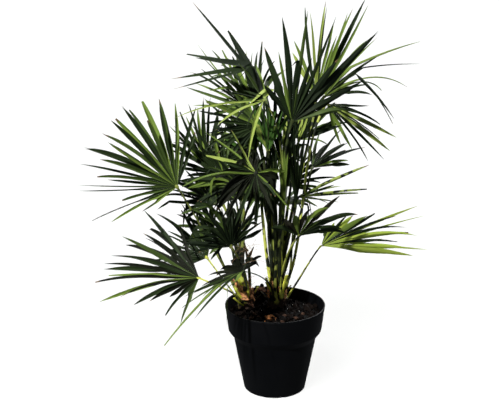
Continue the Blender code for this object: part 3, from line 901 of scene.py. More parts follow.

# A listed leaflet: its angle from the midrib, its length in percent of the reach, its width in
# percent of the fan's, its shade, its droop, its sideways bend, and its kink (where, down, aside)
Leaf = collections.namedtuple("Leaf", "angle long wide shade droop bend kink",
                              defaults=(100, None, None, None, None))
# The shades dealt to each fan and leaflet are painted light as well as colour: dark ones where the crown
# throws shade, bright ones where the sun falls
fanLooks = {
    "left_01": dict(
        webShare=0.24, wide=0.0185, shades=dict(deep=5, green=5, fresh=2), taper=(3.0, 6.5), blunt=0.55,
        twist=30.0, bend=4.0,
        leaves=(
            (-76, 40, 50), (-66, 74, 55, "fresh"), (-61, 86, 24, "deep", 0.2, 3), (-53, 56, 50),
            (-45, 92, 30, "deep", 0.0, 6), (-41, 96, 34, "green", 0.0, 4), (-35, 67, 60),
            (-31, 80, 70, "green"), (-27, 94, 60, "deep"), (-21, 82, 95, "green"), (-15, 93, 115, "deep"),
            (-11, 83, 90, "fresh"), (-4, 86, 110, "green"), (1, 92, 110, "deep"), (7, 87, 100, "fresh"),
            (12, 92, 100, "deep"), (17, 86, 80, "green"), (21, 72, 80), (26, 88, 115, "fresh"),
            (32, 78, 70, "deep"), (37, 85, 110, "green"), (43, 72, 60), (47, 80, 90, "fresh"),
            (55, 78, 70, "deep"), (66, 55, 70, "deep"),
        ),
    ),
    "left_02": dict(
        shades=dict(deep=6, green=3),
        leaves=(
            (-52, 66), (-42, 80, 80, "fresh"), (-34, 72), (-27, 86, 70), (-20, 76, 90, "fresh"),
            (-14, 92, 70), (-8, 82, 80, "fresh"), (-3, 95, 125, "deep"), (4, 98, 80), (11, 90, 80),
            (19, 76), (29, 86, 70), (40, 70), (52, 60),
        ),
    ),
    "left_03": dict(
        webShare=0.30, wide=0.0175, shades=dict(shadow=6, deep=4), droop=(0.0, 0.9), kinked=0.25,
    ),
    "left_04": dict(
        webShare=0.22, wide=0.0205, shades=dict(night=7, deep=3), taper=(2.0, 4.0),
        leaves=(
            (-72, 52, 60, "green", 0.3), (-56, 56, 50, "deep", 0.3), (-46, 36, 80), (-37, 56, 80),
            (-30, 66, 80, "deep"), (-24, 76, 90, "night"), (-20, 92, 80, "fresh"),
            (-15, 97.5, 100, "night"), (-9, 80, 90, "fresh"), (-4, 86, 110, "night"), (3, 84, 120, "deep"),
            (8, 70, 80, "deep"), (13, 80, 110, "night"), (20, 77, 90, "green"), (26, 73, 120, "night"),
            (33, 60, 100), (40, 68, 90, "night"), (47, 80, 100, "deep"), (53, 74, 110, "night"),
            (64, 55, 90),
        ),
    ),
    "left_05": dict(shades=dict(deep=8, green=2), wide=0.0160, droop=(0.0, 0.7)),
    "left_06": middleFan,
    "left_07": dict(middleFan, shades=dict(deep=4, green=4, fresh=2)),
    "right_01": dict(
        webShare=0.30, blunt=0.0, wide=0.0240, shades=dict(shadow=6, deep=3), fold=(18.0, 36.0), lift=8.0,
        taper=(2.2, 3.6),
        leaves=(
            (-50, 44, 80), (-36, 73, 100, "deep"), (-26, 68, 40, "fresh"), (-19, 95, 90, "shadow"),
            (-11, 66, 85, "shadow", 0.0, 0, (0.80, 100, -20)), (-8, 100, 50, "green"),
            (0, 62, 60, "shadow"), (8, 100, 62, "deep"), (18, 70, 90, "shadow"), (27, 108, 105, "shadow"),
            (43, 72, 80, "shadow", 0.0, -4), (58, 46, 90, "green", 0.5),
        ),
    ),
    "right_02": dict(
        webShare=0.24, blunt=0.0, shades=dict(deep=2, green=3, fresh=4, yellow=2), wide=0.0180, twist=25.0,
        leaves=(
            (-38, 52), (-30, 62, 80, "fresh"), (-22, 91, 80), (-13, 87, 80, "yellow"),
            (-10, 96.5, 80, "yellow"), (-6, 94, 50), (-1, 76, 80, "fresh"), (4, 66, 70), (7, 95, 60),
            (10, 89, 70, "fresh"), (12, 108.5, 100, "deep"), (18, 108, 80, "fresh"), (24, 58, 70, "yellow"),
            (31, 86, 70, "fresh"), (40, 50, 70),
        ),
    ),
    "right_03": dict(
        webShare=0.20, shades=dict(deep=2, green=4, fresh=5), wide=0.0140, lift=5.0,
        leaves=(
            (-34, 50, 80), (-22, 62, 80, "fresh"), (-12, 100, 75, "fresh", 0.0, -6, (0.22, 0, 21)),
            (-3, 60, 70, "deep"), (1, 98, 60, "deep", 0.0, -8, (0.32, 0, 28)),
            (1, 90, 85, "shadow", 0.0, 0, (0.27, 73, 0)), (10, 84, 50, "fresh", 0.0, 50),
            (22, 84, 36, "deep", 0.0, 0, (0.26, 58, 0)), (14, 60, 45, "fresh", 0.0, 75),
            (32, 45, 80, "deep"),
        ),
    ),
    "right_04": dict(
        webShare=0.24, shades=dict(deep=2, green=3, fresh=3), wide=0.0175, lift=8.0, twist=20.0,
        leaves=(
            (-32, 52, 70), (-20, 72, 60, "deep"), (-9, 100, 110, "yellow", 0.0, 0), (-3, 80, 40, "deep"),
            (3, 106, 110, "yellow", 0.0, 0), (9, 106, 80, "shadow", 0.0, 0),
            (18, 100, 60, "shadow", 0.3, 4), (29, 70, 70, "fresh"), (40, 60, 60),
        ),
    ),
    "right_05": dict(
        shades=dict(shadow=5, deep=3), webShare=0.26,
        leaves=(
            (-40, 60), (-30, 76, 90, "green"), (-20, 80), (-13, 100, 70, "shadow"), (-6, 100, 80, "deep"),
            (1, 80, 80, "deep"), (7, 70, 80), (14, 95, 140, "shadow"), (22, 60, 100, "fresh"), (34, 55),
        ),
    ),
    "right_06": dict(
        webShare=0.14, shades=dict(dappled=3, fresh=4, yellow=3), wide=0.0140, lift=4.0, roll=-60.0,
        twist=8.0, fold=(8.0, 22.0), webSlope=20.0, taper=(3.0, 5.5),
        leaves=(
            # sunlit leaflets that carry painted shadows of the leaves above
            (-37, 106, 78, "dappled", 0.0, 0), (-26, 72, 40, "fresh"), (-16, 50, 40, "deep"),
            (-6, 60, 40, "dappled"), (13, 108, 52, "dappled", 0.0, 0), (26, 112, 48, "dappled", 0.0, 0),
            (34, 62, 30, "green"), (43, 102, 34, "dappled", 0.0, 0), (54, 60, 40),
        ),
    ),
    "right_07": dict(
        webShare=0.42, shades=dict(umber=9, deep=2), wide=0.0210, fold=(14.0, 30.0),
        leaves=(
            (-86, 62, 100, "deep", 0.4), (-66, 52, 90), (-45, 56, 100, "fresh"),
            (-26, 62, 90, "umber", 0.6, 18), (-10, 84, 90, "fresh", 0.3, 10), (1, 102, 90),
            (12, 80, 80, "green", 0.5), (23, 106, 90, "deep", 0.4, 6), (36, 75, 80, "deep", 0.6),
            (50, 88, 90, "deep", 0.6, 8),
        ),
    ),
    "right_08": dict(
        turn=35, webShare=0.20, shades=dict(lit=5, yellow=2), wide=0.0165, lift=4.0, fold=(6.0, 18.0),
        webSlope=14.0, roll=4.0, twist=14.0,
        leaves=(
            (-56, 18, 80, "green"), (-47, 29, 90, "lit"), (-40, 43, 60, "deep"), (-33, 44, 100, "lit"),
            (-26, 54, 110, "fresh"), (-20, 60, 80, "deep"), (-15, 77, 60, "shadow"),
            (-12, 96, 70, "lit", 0.0, 0), (-9, 80, 60, "shadow"), (-5, 99, 60, "lit", 0.0, 0),
            (-2, 88, 100, "lit"), (2, 80, 90, "lit"), (6, 70, 70, "deep"), (10, 56, 100, "lit"),
            (15, 96, 60, "lit", 0.0, 0), (18, 74, 130, "lit", 0.0, 0), (21, 84, 150, "lit", 0.0, 0),
            (25, 74, 130, "lit", 0.0, -4),
        ),
    ),
    "right_09": dict(
        webShare=0.11, shades=dict(shadow=6, deep=3), wide=0.0215, fold=(10.0, 26.0), lift=1.0, cup=11.0,
        roll=-42.0, twist=10.0, taper=(2.2, 3.4),
        leaves=(
            (-20, 46, 70, "green", 0.3), (-8, 63, 30, "deep", 0.0, 0, (0.50, 106, 0)),
            (-3, 93, 45, "deep", 0.0, 0, (0.29, 78, 0)), (1, 96, 125, "deep", 0.0, 0, (0.29, 74, 0)),
            (4, 79, 150, "shadow", 0.0, 0, (0.38, 57, 0)), (7, 90, 160, "deep", 0.0, 0, (0.33, 56, 0)),
            (10, 104, 75, "shadow", 0.0, 0, (0.28, 15, 0)), (16, 71, 130, "shadow", 0.0, 0, (0.44, 8, 0)),
            (27, 40, 120, "shadow"), (40, 42, 80, "deep"), (54, 50, 80, "fresh"), (68, 46, 90, "deep"),
        ),
    ),
    "right_10": dict(
        webShare=0.26, shades=dict(deep=3, green=5, fresh=3), wide=0.0140,
        leaves=(
            (-60, 60), (-50, 80, 80, "fresh"), (-36, 103, 80, "green"), (-27, 85, 80, "fresh"),
            (-19, 112, 85, "deep"), (-13, 88, 80), (-7, 115, 75, "green"), (-3, 110, 70, "fresh"),
            (5, 105, 80, "green"), (12, 88, 80, "fresh"), (18, 80), (24, 86, 80), (32, 80, 80, "fresh"),
            (41, 76, 80), (52, 70),
        ),
    ),
    "right_11": dict(
        webShare=0.12, shades=dict(shadow=4, fresh=1), wide=0.0150,
        leaves=(
            (-60, 62, 80, "shadow", 1.0), (-47, 130, 125, "yellow", 0.6), (-32, 66, 80, "deep", 1.5),
            (-16, 102, 105, "yellow"), (-2, 60, 80, "shadow", 1.2), (8, 150, 46, "yellow", 0.2),
            (22, 66, 80, "green", 0.8), (40, 70, 80, "shadow"), (74, 46, 80, "deep"),
            (134, 92, 180, "yellow", 0.0, 0, (0.34, 0, -164)),
        ),
    ),
    "right_12": dict(
        webShare=0.14, shades=dict(night=12, deep=2), wide=0.0190, droop=(0.0, 1.2), bend=18.0, lift=22.0,
        twist=60.0,
        leaves=(
            (-158, 50, 80, "fresh", 0.0, 14), (-142, 36, 130, "night", 1.5),
            (-128, 52, 110, "night", 0.0, 0, (0.4, 80, 40)),
            (-114, 42, 120, "night", 0.0, 0, (0.3, 60, 20)), (-100, 78, 30, "fresh", 0.0, 0),
            (-84, 42, 110), (-72, 60, 90, "night", 0.4), (-60, 70, 100), (-50, 76, 100, "deep", 0.3),
            (-40, 84, 90), (-31, 80, 110), (-24, 88, 80), (-12, 86, 120), (-4, 106, 80), (4, 78, 120),
            (12, 100, 90), (20, 66, 120, "night", 0.6), (30, 145, 95, "fresh", 0.0, -14),
            (42, 60, 120, "night", 0.8), (54, 54, 100), (64, 74, 90, "yellow", 0.0, 0),
            (72, 50, 100, "night", 0.0, 0, (0.4, 70, -20)), (80, 90, 80, "fresh", 0.0, 4),
            (91, 70, 70, "yellow", 0.0, 0), (104, 50, 120),
            (118, 56, 120, "night", 0.0, 0, (0.45, 70, -30)), (134, 44, 130, "night", 0.6, 20),
            (150, 50, 110, "deep", 0.0, 0, (0.4, 60, 30)),
        ),
    ),
    "right_13": dict(
        leaflets=1.8, shades=dict(fresh=4, yellow=1), fold=(60.0, 72.0), webSlope=62.0, webShare=0.85,
        lift=1.0, bend=0.5, droop=(0.0, 0.0), twist=4.0, kinked=0.0, sideLength=0.9, length=(0.88, 1.02),
        wide=0.0090,
    ),
    "right_14": dict(
        spread=(-24, 24), leaflets=1.3, webShare=0.55, length=(0.62, 0.78), fold=(50.0, 62.0),
        webSlope=62.0, lift=3.0, bend=2.0, droop=(0.0, 0.0), twist=8.0, kinked=0.0,
        shades=dict(green=2, fresh=6),
    ),
    "right_18": dict(
        webShare=0.14, shades=dict(night=1), wide=0.0155, roll=-30.0, twist=24.0, bend=6.0,
        leaves=(
            (-56, 46, 50, "night", 0.2), (-40, 98, 24, "fresh", 0.0, 0, (0.55, 95, 0)),
            (-14, 84, 80, "deep", 0.1, 0), (-9, 90, 60, "green", 0.1, 0), (1, 119, 85, "fresh", 0.10, 0),
            (3, 72, 90, "deep", 0.1), (8, 64, 80, "green", 0.1), (14, 58, 100, "night", 0.1),
            (24, 50, 90, "green", 0.1), (36, 46, 100, "night", 0.2), (50, 44, 110, "night", 0.2),
            (66, 43, 110, "night", 0.3), (84, 44, 120, "night", 0.3), (98, 50, 150, "night", 0.4),
            (108, 44, 170, "night", 0.0, 8), (116, 50, 190, "night", 0.0, 0, (0.7, 30, 10)),
            (124, 62, 200, "night", 0.0, -8, (0.75, 40, -20)),
            (132, 66, 200, "night", 0.0, 6, (0.8, 35, 20)), (139, 72, 180, "deep", 0.0, 0, (0.8, 45, 30)),
            (146, 58, 200), (154, 46, 180), (166, 28, 160), (180, 20, 140),
        ),
    ),
    "right_21": dict(middleFan, webShare=0.16, shades=dict(shadow=5, deep=2, emerald=3, fresh=1)),
    "right_27": dict(middleFan, webShare=0.34, shades=dict(shadow=5, deep=3, yellow=3)),
    "right_30": dict(middleFan, webShare=0.20, shades=dict(emerald=6, deep=2, fresh=1)),
    "right_31": dict(middleFan, webShare=0.20, shades=dict(emerald=4, shadow=4, fresh=1)),
    "right_28": dict(foldedFan, shades=dict(shadow=4, deep=3)),
    "right_29": dict(foldedFan, shades=dict(deep=3, green=1)),
    "right_22": dict(
        middleFan, webShare=0.12, shades=dict(shadow=9, deep=2),
        leaves=(
            (-62, 70), (-50, 90), (-38, 80), (-28, 100), (-16, 38, 60, "yellow"), (-5, 42, 60, "yellow"),
            (2, 90, 80), (9, 40, 60, "yellow"), (20, 90), (32, 80), (44, 90), (58, 70),
            (76, 50, 80, "fresh"),
        ),
    ),
}


def stemAxis(size, share):
    foot = Vector((*size["foot"], soilTop + seatGap))
    lean = Vector((*size["lean"], size["height"]))
    bend = Vector((*size["lean"], 0.0)) * (share * share - share)
    return foot + lean * share + bend


def stemRadius(size, share):
    flare = (stemFlare - 1.0) * (1.0 - share) ** 4
    return size["radius"] * (1.0 + flare - (1.0 - stemTaper) * share)


def outwardAt(angle):
    return Vector((math.cos(angle), math.sin(angle), 0.0))


def headingOf(turn, climb):
    flat = math.cos(math.radians(climb))
    along = flat * math.cos(math.radians(turn))
    aside = flat * math.sin(math.radians(turn))
    return Vector((along, aside, math.sin(math.radians(climb))))


def hubOf(fan):
    return Vector(fan.hub) / 1000.0


def reachOf(fan):
    return fan.reach / 1000.0


def allFans(name):
    # each fan's number and label, the fan, and whether it has a solid of its own
    for number, fan in enumerate(fans[name] + extraFans[name]):
        yield number, "%s_%02d" % (name, number + 1), fan, number < len(fans[name])


def nodesOf(kind, name):
    return ["%s_%s_%02d" % (kind, name, number + 1) for number in range(len(fans[name]))]


def fanAxes(fan):
    midrib = headingOf(fan.heading, fan.climb)
    across = photoDirection.cross(midrib).normalized()
    across = Matrix.Rotation(math.radians(fan.turn), 3, midrib) @ across
    return midrib, across, midrib.cross(across)


def upperSide(fan):
    # the side that faces the sky and the plant's middle
    normal = fanAxes(fan)[2]
    hub = hubOf(fan)
    inward = Vector((-hub.x, -hub.y, 0.0)).normalized()
    return normal if normal.dot(inward + Vector((0.0, 0.0, 1.0))) > 0.0 else -normal


def spreadTurns(turns, least):
    turned = list(turns)
    count = len(turned)
    if count < 2:
        return turned
    least = min(least, math.tau / count)
    for _ in range(stalkPlan["spreadRounds"]):
        for place in range(count):
            after = (place + 1) % count
            lap = math.tau if after == 0 else 0.0
            lack = least - (turned[after] + lap - turned[place])
            if lack > 0.0:
                turned[place] -= lack / 2.0
                turned[after] += lack / 2.0
    return turned


def stalkFeet(name):
    # each fan's foot on its stem, the way out from the stem there, and its tier
    size = stems[name]
    tip = stemAxis(size, 1.0)
    offsets = [hubOf(fan) - tip for fan in fans[name]]
    slope = [math.atan2(offset.z, offset.xy.length) for offset in offsets]
    turns = [math.atan2(offset.y, offset.x) for offset in offsets]
    order = sorted(range(len(offsets)), key=lambda index: slope[index])
    shares = stalkPlan["tierShares"]
    feet = {}
    for tier, (least, most) in enumerate(zip(shares, shares[1:])):
        members = order[round(least * len(order)):round(most * len(order))]
        members.sort(key=lambda index: turns[index])
        footWidth = stalkPlan["footWidths"][tier]
        if tier == tipTier:
            ringRadius = stemRadius(size, 1.0) - footWidth * stalkPlan["tipInset"]
        else:
            ringRadius = stemRadius(size, stalkPlan["ringHeights"][tier])
        gap = 2.0 * math.asin(min(1.0, footWidth * stalkPlan["footSpacing"] / ringRadius))
        for index, angle in zip(members, spreadTurns([turns[index] for index in members], gap)):
            aside = outwardAt(angle)
            if tier == tipTier:
                foot = tip + aside * ringRadius + Vector((0.0, 0.0, seatGap))
            else:
                depth = footWidth * stalkPlan["flatness"] * math.sin(math.tau / stalkPlan["sides"])
                foot = stemAxis(size, stalkPlan["ringHeights"][tier]) + aside * (ringRadius + seatGap + depth)
            feet[index] = (foot, aside, tier)
    return feet


def bezier(corners, share):
    rest = 1.0 - share
    weights = (rest ** 3, 3 * rest * rest * share, 3 * rest * share * share, share ** 3)
    return sum((corner * weight for corner, weight in zip(corners, weights)), Vector())


def stalkCorners(fan, foot, aside, tier, bow):
    hub = hubOf(fan)
    midrib = headingOf(fan.heading, fan.climb)
    span = (hub - foot).length
    rise = Vector((0.0, 0.0, 1.0))
    leave = rise if tier == tipTier else (rise + aside * stalkPlan["leaveTilt"]).normalized()
    toward = (hub - foot).normalized()
    sideways = toward.cross(rise).normalized() * bow
    arrive = (midrib * stalkPlan["arriveShare"] + toward).normalized()
    end = hub - midrib * seatGap
    return (
        foot,
        foot + leave * span * stalkPlan["leavePull"] + sideways,
        end - arrive * span * stalkPlan["arrivePull"] + sideways,
        end,
    )


def chosenBow(fan, foot, aside, tier, node):
    # the bow whose curve fills the solid stalk's box best
    low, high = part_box(node)
    steps = stalkPlan["bowSteps"]
    misses = []
    for bow in stalkPlan["bows"]:
        corners = stalkCorners(fan, foot, aside, tier, bow)
        line = [bezier(corners, step / steps) for step in range(steps + 1)]
        lowest, highest = (Vector([extreme(values) for values in zip(*line)]) for extreme in (min, max))
        misses.append((lowest - low).length + (highest - high).length)
    return stalkPlan["bows"][misses.index(min(misses))]


# Stalks

stalkLooks = {
    "sides": 10, "steps": 26, "hollow": 0.35, "depth": 1.25,
    "footWiden": 1.45, "footWidenSteps": 4.0,
    # the sheath below the foot: steps, depth, depth in the soil, widening, and how it hugs the stem
    "baseSteps": 4, "baseDrop": 0.034, "baseInSoil": 0.004, "baseWiden": 1.75, "baseHug": 0.55,
    "youngInsets": (0.38, 0.62),     # shares of the stem's radius, by turns
    # the stalks that take the sunlit copies with painted sunlight; all others take deep, the copy darkened as
    # painted shade
    "shades": {
        "bright": ("left_04", "left_05", "right_04", "right_07", "right_08", "right_10"),
        "green": ("left_01", "left_02", "left_03", "left_06", "left_07", "right_02", "right_06", "right_11",
                  "right_13", "right_14", "right_16", "right_19", "right_22", "left_11"),
    },
}
# The small flap where the stalk's end spreads into the blade: lengthened along the midrib, set forward,
# and wider for a wider fan
handShape = {
    "radius": 0.0060, "thickness": 0.0026, "stretch": 1.3, "forward": 0.25, "width": (0.45, 0.55),
    "sides": 10, "levels": 5,
}


def carriedFrames(line, start):
    # a direction, a way out and a side at each point, carried along without twist
    frames = []
    outward = start
    for index in range(len(line)):
        before = line[max(0, index - 1)]
        after = line[min(len(line) - 1, index + 1)]
        along = (after - before).normalized()
        outward = (outward - along * outward.dot(along)).normalized()
        frames.append((along, outward, along.cross(outward)))
    return frames


def closedTube(rings, points, faces):
    start = len(points)
    sides = len(rings[0])
    for ring in rings:
        points += ring
    last = len(points) - sides
    faces += sleeve(start, len(rings), sides)
    faces.append(tuple(range(start, start + sides)))
    faces.append(tuple(reversed(range(last, last + sides))))


def stalkRings(line, frames, widths, finalUpper):
    # a stalk's section: rounded below, nearly flat above, turned to meet its fan
    along, outward, side = frames[-1]
    wanted = -finalUpper + along * finalUpper.dot(along)
    turn = math.atan2(wanted.dot(side), wanted.dot(outward))
    rings = []
    for index, (point, (along, outward, side)) in enumerate(zip(line, frames)):
        share = index / (len(line) - 1)
        twist = Matrix.Rotation(turn * share * share, 3, along)
        out = twist @ outward
        across = twist @ side
        width, depth = widths[index]
        ring = []
        for step in range(stalkLooks["sides"]):
            angle = math.tau * step / stalkLooks["sides"]
            deep = math.sin(angle)
            if deep < 0.0:
                deep *= stalkLooks["hollow"]
            ring.append(point + across * math.cos(angle) * width + out * deep * depth)
        rings.append(ring)
    return rings


def stalkLine(fan, foot, aside, tier, bow):
    # the middle line and half widths, from the sheath under the foot to the blade
    corners = stalkCorners(fan, foot, aside, tier, bow)
    looks = stalkLooks
    steps = looks["steps"]
    footWidth = stalkPlan["footWidths"][tier]
    drop = min(looks["baseDrop"], foot.z - soilTop + looks["baseInSoil"])
    line = []
    widths = []
    for step in range(looks["baseSteps"], 0, -1):
        share = step / looks["baseSteps"]
        inward = aside * looks["baseHug"] * footWidth * share
        line.append(foot - Vector((0.0, 0.0, drop * share)) - inward)
        wide = looks["footWiden"] + (looks["baseWiden"] - looks["footWiden"]) * share
        widths.append((footWidth * wide, footWidth * stalkPlan["flatness"]))
    for step in range(steps + 1):
        line.append(bezier(corners, step / steps))
        share = min(1.0, step / steps * stalkPlan["narrowing"])
        width = footWidth + (stalkPlan["topWidth"] - footWidth) * share
        width *= 1.0 + (looks["footWiden"] - 1.0) * max(0.0, 1.0 - step / looks["footWidenSteps"]) ** 2
        widths.append((width, width * stalkPlan["flatness"] * looks["depth"]))
    return line, widths


def extraFoot(name, fan, number):
    # a young frond's foot stands inside the ring of older ones
    tip = stemAxis(stems[name], 1.0)
    offset = hubOf(fan) - tip
    aside = outwardAt(math.atan2(offset.y, offset.x))
    inset = stems[name]["radius"] * stalkLooks["youngInsets"][number % 2]
    return tip + aside * inset + Vector((0.0, 0.0, seatGap)), aside


def addHand(fan, points, faces):
    midrib, across, _ = fanAxes(fan)
    upper = upperSide(fan)
    radius = handShape["radius"]
    least, more = handShape["width"]
    first, last = fan.spread
    wide = min(1.0, math.radians(last - first) / 2.0)
    levels = handShape["levels"]
    rings = []
    for level in range(levels):
        slope = -math.pi / 2.0 + math.pi * (level + 0.5) / levels
        flat = math.cos(slope)
        ring = []
        for step in range(handShape["sides"]):
            angle = math.tau * step / handShape["sides"]
            along = math.cos(angle) * flat * radius * handShape["stretch"] + radius * handShape["forward"]
            place = midrib * along + across * math.sin(angle) * flat * radius * (least + more * wide)
            ring.append(hubOf(fan) + place + upper * math.sin(slope) * handShape["thickness"] * 0.5)
        rings.append(ring)
    closedTube(rings, points, faces)


def makeStalks(name):
    bundled = {shade: ([], []) for shade in stalkShades}
    feet = stalkFeet(name)
    for number, label, fan, solid in allFans(name):
        if solid:
            foot, aside, tier = feet[number]
            bow = chosenBow(fan, foot, aside, tier, "stalk_" + label)
        else:
            foot, aside = extraFoot(name, fan, number)
            tier, bow = tipTier, 0.0
        line, widths = stalkLine(fan, foot, aside, tier, bow)
        shade = next((key for key, labels in stalkLooks["shades"].items() if label in labels), "deep")
        points, faces = bundled[shade]
        closedTube(stalkRings(line, carriedFrames(line, aside), widths, upperSide(fan)), points, faces)
        addHand(fan, points, faces)
    for shade, (points, faces) in bundled.items():
        if points:
            stalks = meshPiece("stalks_%s_%s" % (name, shade), points, faces, materials["stalk_" + shade])
            finishPiece(stalks, nodesOf("stalk", name))


for stemName in stems:
    makeStalks(stemName)


# Leaves

bladeShape = {
    "start": 0.006, "webSteps": 4, "bladeSteps": 12, "thickness": 0.0006,
    "cone": 3.0, "splitJitter": 0.22, "angleJitter": 0.34, "widthRange": (0.72, 1.14),
    "splitMost": 0.6,                # share of a leaflet's length that can be joined to its neighbours
    "crowding": 1.2,                 # above 1 the rings crowd toward the tip
    "bendPower": 1.4, "liftRise": 4.0, "flatten": 0.25, "thin": 0.5, "blendSteps": 3.0,
    "layers": (0.2, 1.0), "twistShare": 0.35, "tipPower": 0.9,
    # how a leaflet ends: shares of forked and of dry ends, where a cut one is cut off, how far a point and
    # a fork's two points reach, and how far these part
    "forkShare": 0.20, "dryShare": 0.22, "cutAt": (0.86, 0.94), "pointAt": 0.965,
    "pointReach": 0.8, "forkReach": 1.4, "forkSpread": 0.25,
    "kinkAt": (0.35, 0.8), "kinkDown": (25, 95), "kinkAside": (-25, 25), "kinkStop": 6.0,
    "markStep": 0.08,
}
bundles = {shade: ([], [], []) for shade in leafShades}    # points, faces, and each point's mark


def addBlade(shade, rings, ending):
    # rings are (left edge, fold, right edge, back of the fold); ending is "cut", "point" or "fork"
    points, faces, marks = bundles[shade]
    start = len(points)
    for level, ring in enumerate(rings):
        points += ring
        marks += [(across, level * bladeShape["markStep"]) for across in (0.0, 0.5, 1.0, 0.5)]
    faces += sleeve(start, len(rings), 4)
    faces.append((start, start + 3, start + 2, start + 1))
    last = len(points) - 4
    if ending == "cut":
        faces.append((last, last + 1, last + 2, last + 3))
        return
    left, fold, right, _ = rings[-1]
    onward = fold - rings[-2][1]
    end = len(rings) * bladeShape["markStep"]
    if ending == "point":
        tip = len(points)
        points.append(fold + onward * bladeShape["pointReach"])
        marks.append((0.5, end))
        faces += [(last + step, last + (step + 1) % 4, tip) for step in range(4)]
        return
    for side, edge in ((0, left), (2, right)):
        tip = len(points)
        points.append(edge + onward * bladeShape["forkReach"] + (edge - fold) * bladeShape["forkSpread"])
        marks.append((0.25 + 0.25 * side, end))
        faces += [(last + side, last + 1, tip), (last + side, tip, last + 3), (last + 1, last + 3, tip)]


def fanPoint(fan, axes, upper, angle, radius, height):
    # a point of the open, slightly cupped and sagging web
    midrib, across, _ = axes
    along = midrib * math.cos(angle) + across * math.sin(angle)
    cone = math.radians(bladeShape["cone"])
    point = hubOf(fan) + along * radius * math.cos(cone) + upper * (radius * math.sin(cone) + height)
    return point - Vector((0.0, 0.0, fan.sag / 100.0 * radius * radius / reachOf(fan)))


def bladeSection(centre, along, up, half, slope, thick):
    side = along.cross(up).normalized()
    wide = side * half * math.cos(slope)
    high = up * half * math.sin(slope)
    return [centre - wide + high, centre, centre + wide + high, centre - up * thick]


def kinkedWay(way, normal, kink):
    # turned aside, and down by as much as the kink says or until it hangs
    _, down, aside = kink
    way = Matrix.Rotation(math.radians(aside), 3, normal) @ way
    drop = Vector((0.0, 0.0, -1.0))
    axis = way.cross(drop)
    most = max(0.0, math.degrees(way.angle(drop)) - bladeShape["kinkStop"])
    if axis.length > 0.05:    # else it hangs already
        way = Matrix.Rotation(math.radians(min(down, most)), 3, axis.normalized()) @ way
    return way


def leafRings(fan, axes, upper, leaf):
    shape = bladeShape
    midrib, across, normal = axes
    angle = leaf["angle"]
    edges = leaf["edges"]
    split = (leaf["splits"][0] + leaf["splits"][1]) / 2.0
    slope = math.radians(leaf["webSlope"])
    gap = (edges[1] - edges[0]) / 2.0
    rings = []
    for step in range(shape["webSteps"] + 1):
        radius = shape["start"] + (split - shape["start"]) * step / shape["webSteps"]
        deep = radius * gap * math.tan(slope) / 2.0
        left, right = (fanPoint(fan, axes, upper, edge, radius, deep) for edge in edges)
        fold = fanPoint(fan, axes, upper, angle, radius, -deep)
        rings.append([left, fold, right, fold - upper * shape["thickness"]])
    centre = rings[-1][1]
    along = (centre - rings[-2][1]).normalized()
    up = (upper - along * upper.dot(along)).normalized()
    rightward = along.cross(up).dot(across * math.cos(angle) - midrib * math.sin(angle)) > 0.0
    webHalf = split * math.tan(gap) / math.cos(slope)
    count = shape["bladeSteps"]
    previous = split
    for step in range(1, count + 1):
        share = (1.0 - (1.0 - step / count) ** shape["crowding"]) * leaf["cut"]
        radius = split + (leaf["length"] / leaf["cut"] - split) * share
        lean = angle + math.radians(leaf["bend"]) * share ** shape["bendPower"]
        flat = midrib * math.cos(lean) + across * math.sin(lean)
        lift = math.radians(leaf["lift"] * min(1.0, share * shape["liftRise"]) + leaf["cup"])
        way = flat * math.cos(lift) + upper * math.sin(lift)
        sag = 2.0 * fan.sag / 100.0 * radius / reachOf(fan)
        way = (way - Vector((0.0, 0.0, sag + leaf["droop"] * share * share))).normalized()
        if leaf["kink"] and share >= leaf["kink"][0]:
            way = kinkedWay(way, normal, leaf["kink"])
        centre = centre + way * (radius - previous)
        previous = radius
        up = (up - way * up.dot(way)).normalized()
        twist = math.radians(leaf["twist"]) * min(1.0, share / shape["twistShare"])
        turned = Matrix.Rotation(twist, 3, way) @ up
        # the width runs from the web's over to the blade's, and out to a thin tip
        half = webHalf + (leaf["half"] - webHalf) * min(1.0, step / shape["blendSteps"])
        half *= (1.0 - share ** leaf["taper"]) ** shape["tipPower"]
        fold = math.radians(leaf["fold"]) * (1.0 - shape["flatten"] * share)
        thick = shape["thickness"] * (1.0 - shape["thin"] * share)
        ring = bladeSection(centre, way, turned, half, fold, thick)
        if not rightward:
            ring[0], ring[2] = ring[2], ring[0]
        for place, side in ((0, 0), (2, 1)):
            if radius < leaf["splits"][side]:
                deep = radius * gap * math.tan(slope) / 2.0
                ring[place] = fanPoint(fan, axes, upper, edges[side], radius, deep)
        rings.append(ring)
    return rings


def toldLeaves(rows):
    leaves = [Leaf(*row) for row in rows]
    return [leaf._replace(long=leaf.long / 100.0, wide=leaf.wide / 100.0) for leaf in leaves]


def drawnLeaves(fan, look, dice):
    # the leaflets of a fan whose leaflets aren't listed one by one
    count = round(fan.leaflets * look["leaflets"])
    first, last = look.get("spread", fan.spread)
    step = (last - first) / (count - 1)
    leaves = []
    for number in range(count):
        turn = abs(2.0 * number / (count - 1) - 1.0)
        profile = look["sideLength"] + (1.0 - look["sideLength"]) * math.cos(turn * math.pi / 2.0)
        leaves.append(Leaf(
            first + step * (number + dice.uniform(-1.0, 1.0) * bladeShape["angleJitter"]),
            profile * dice.uniform(*look["length"]),
            dice.uniform(*bladeShape["widthRange"]),
        ))
    return leaves


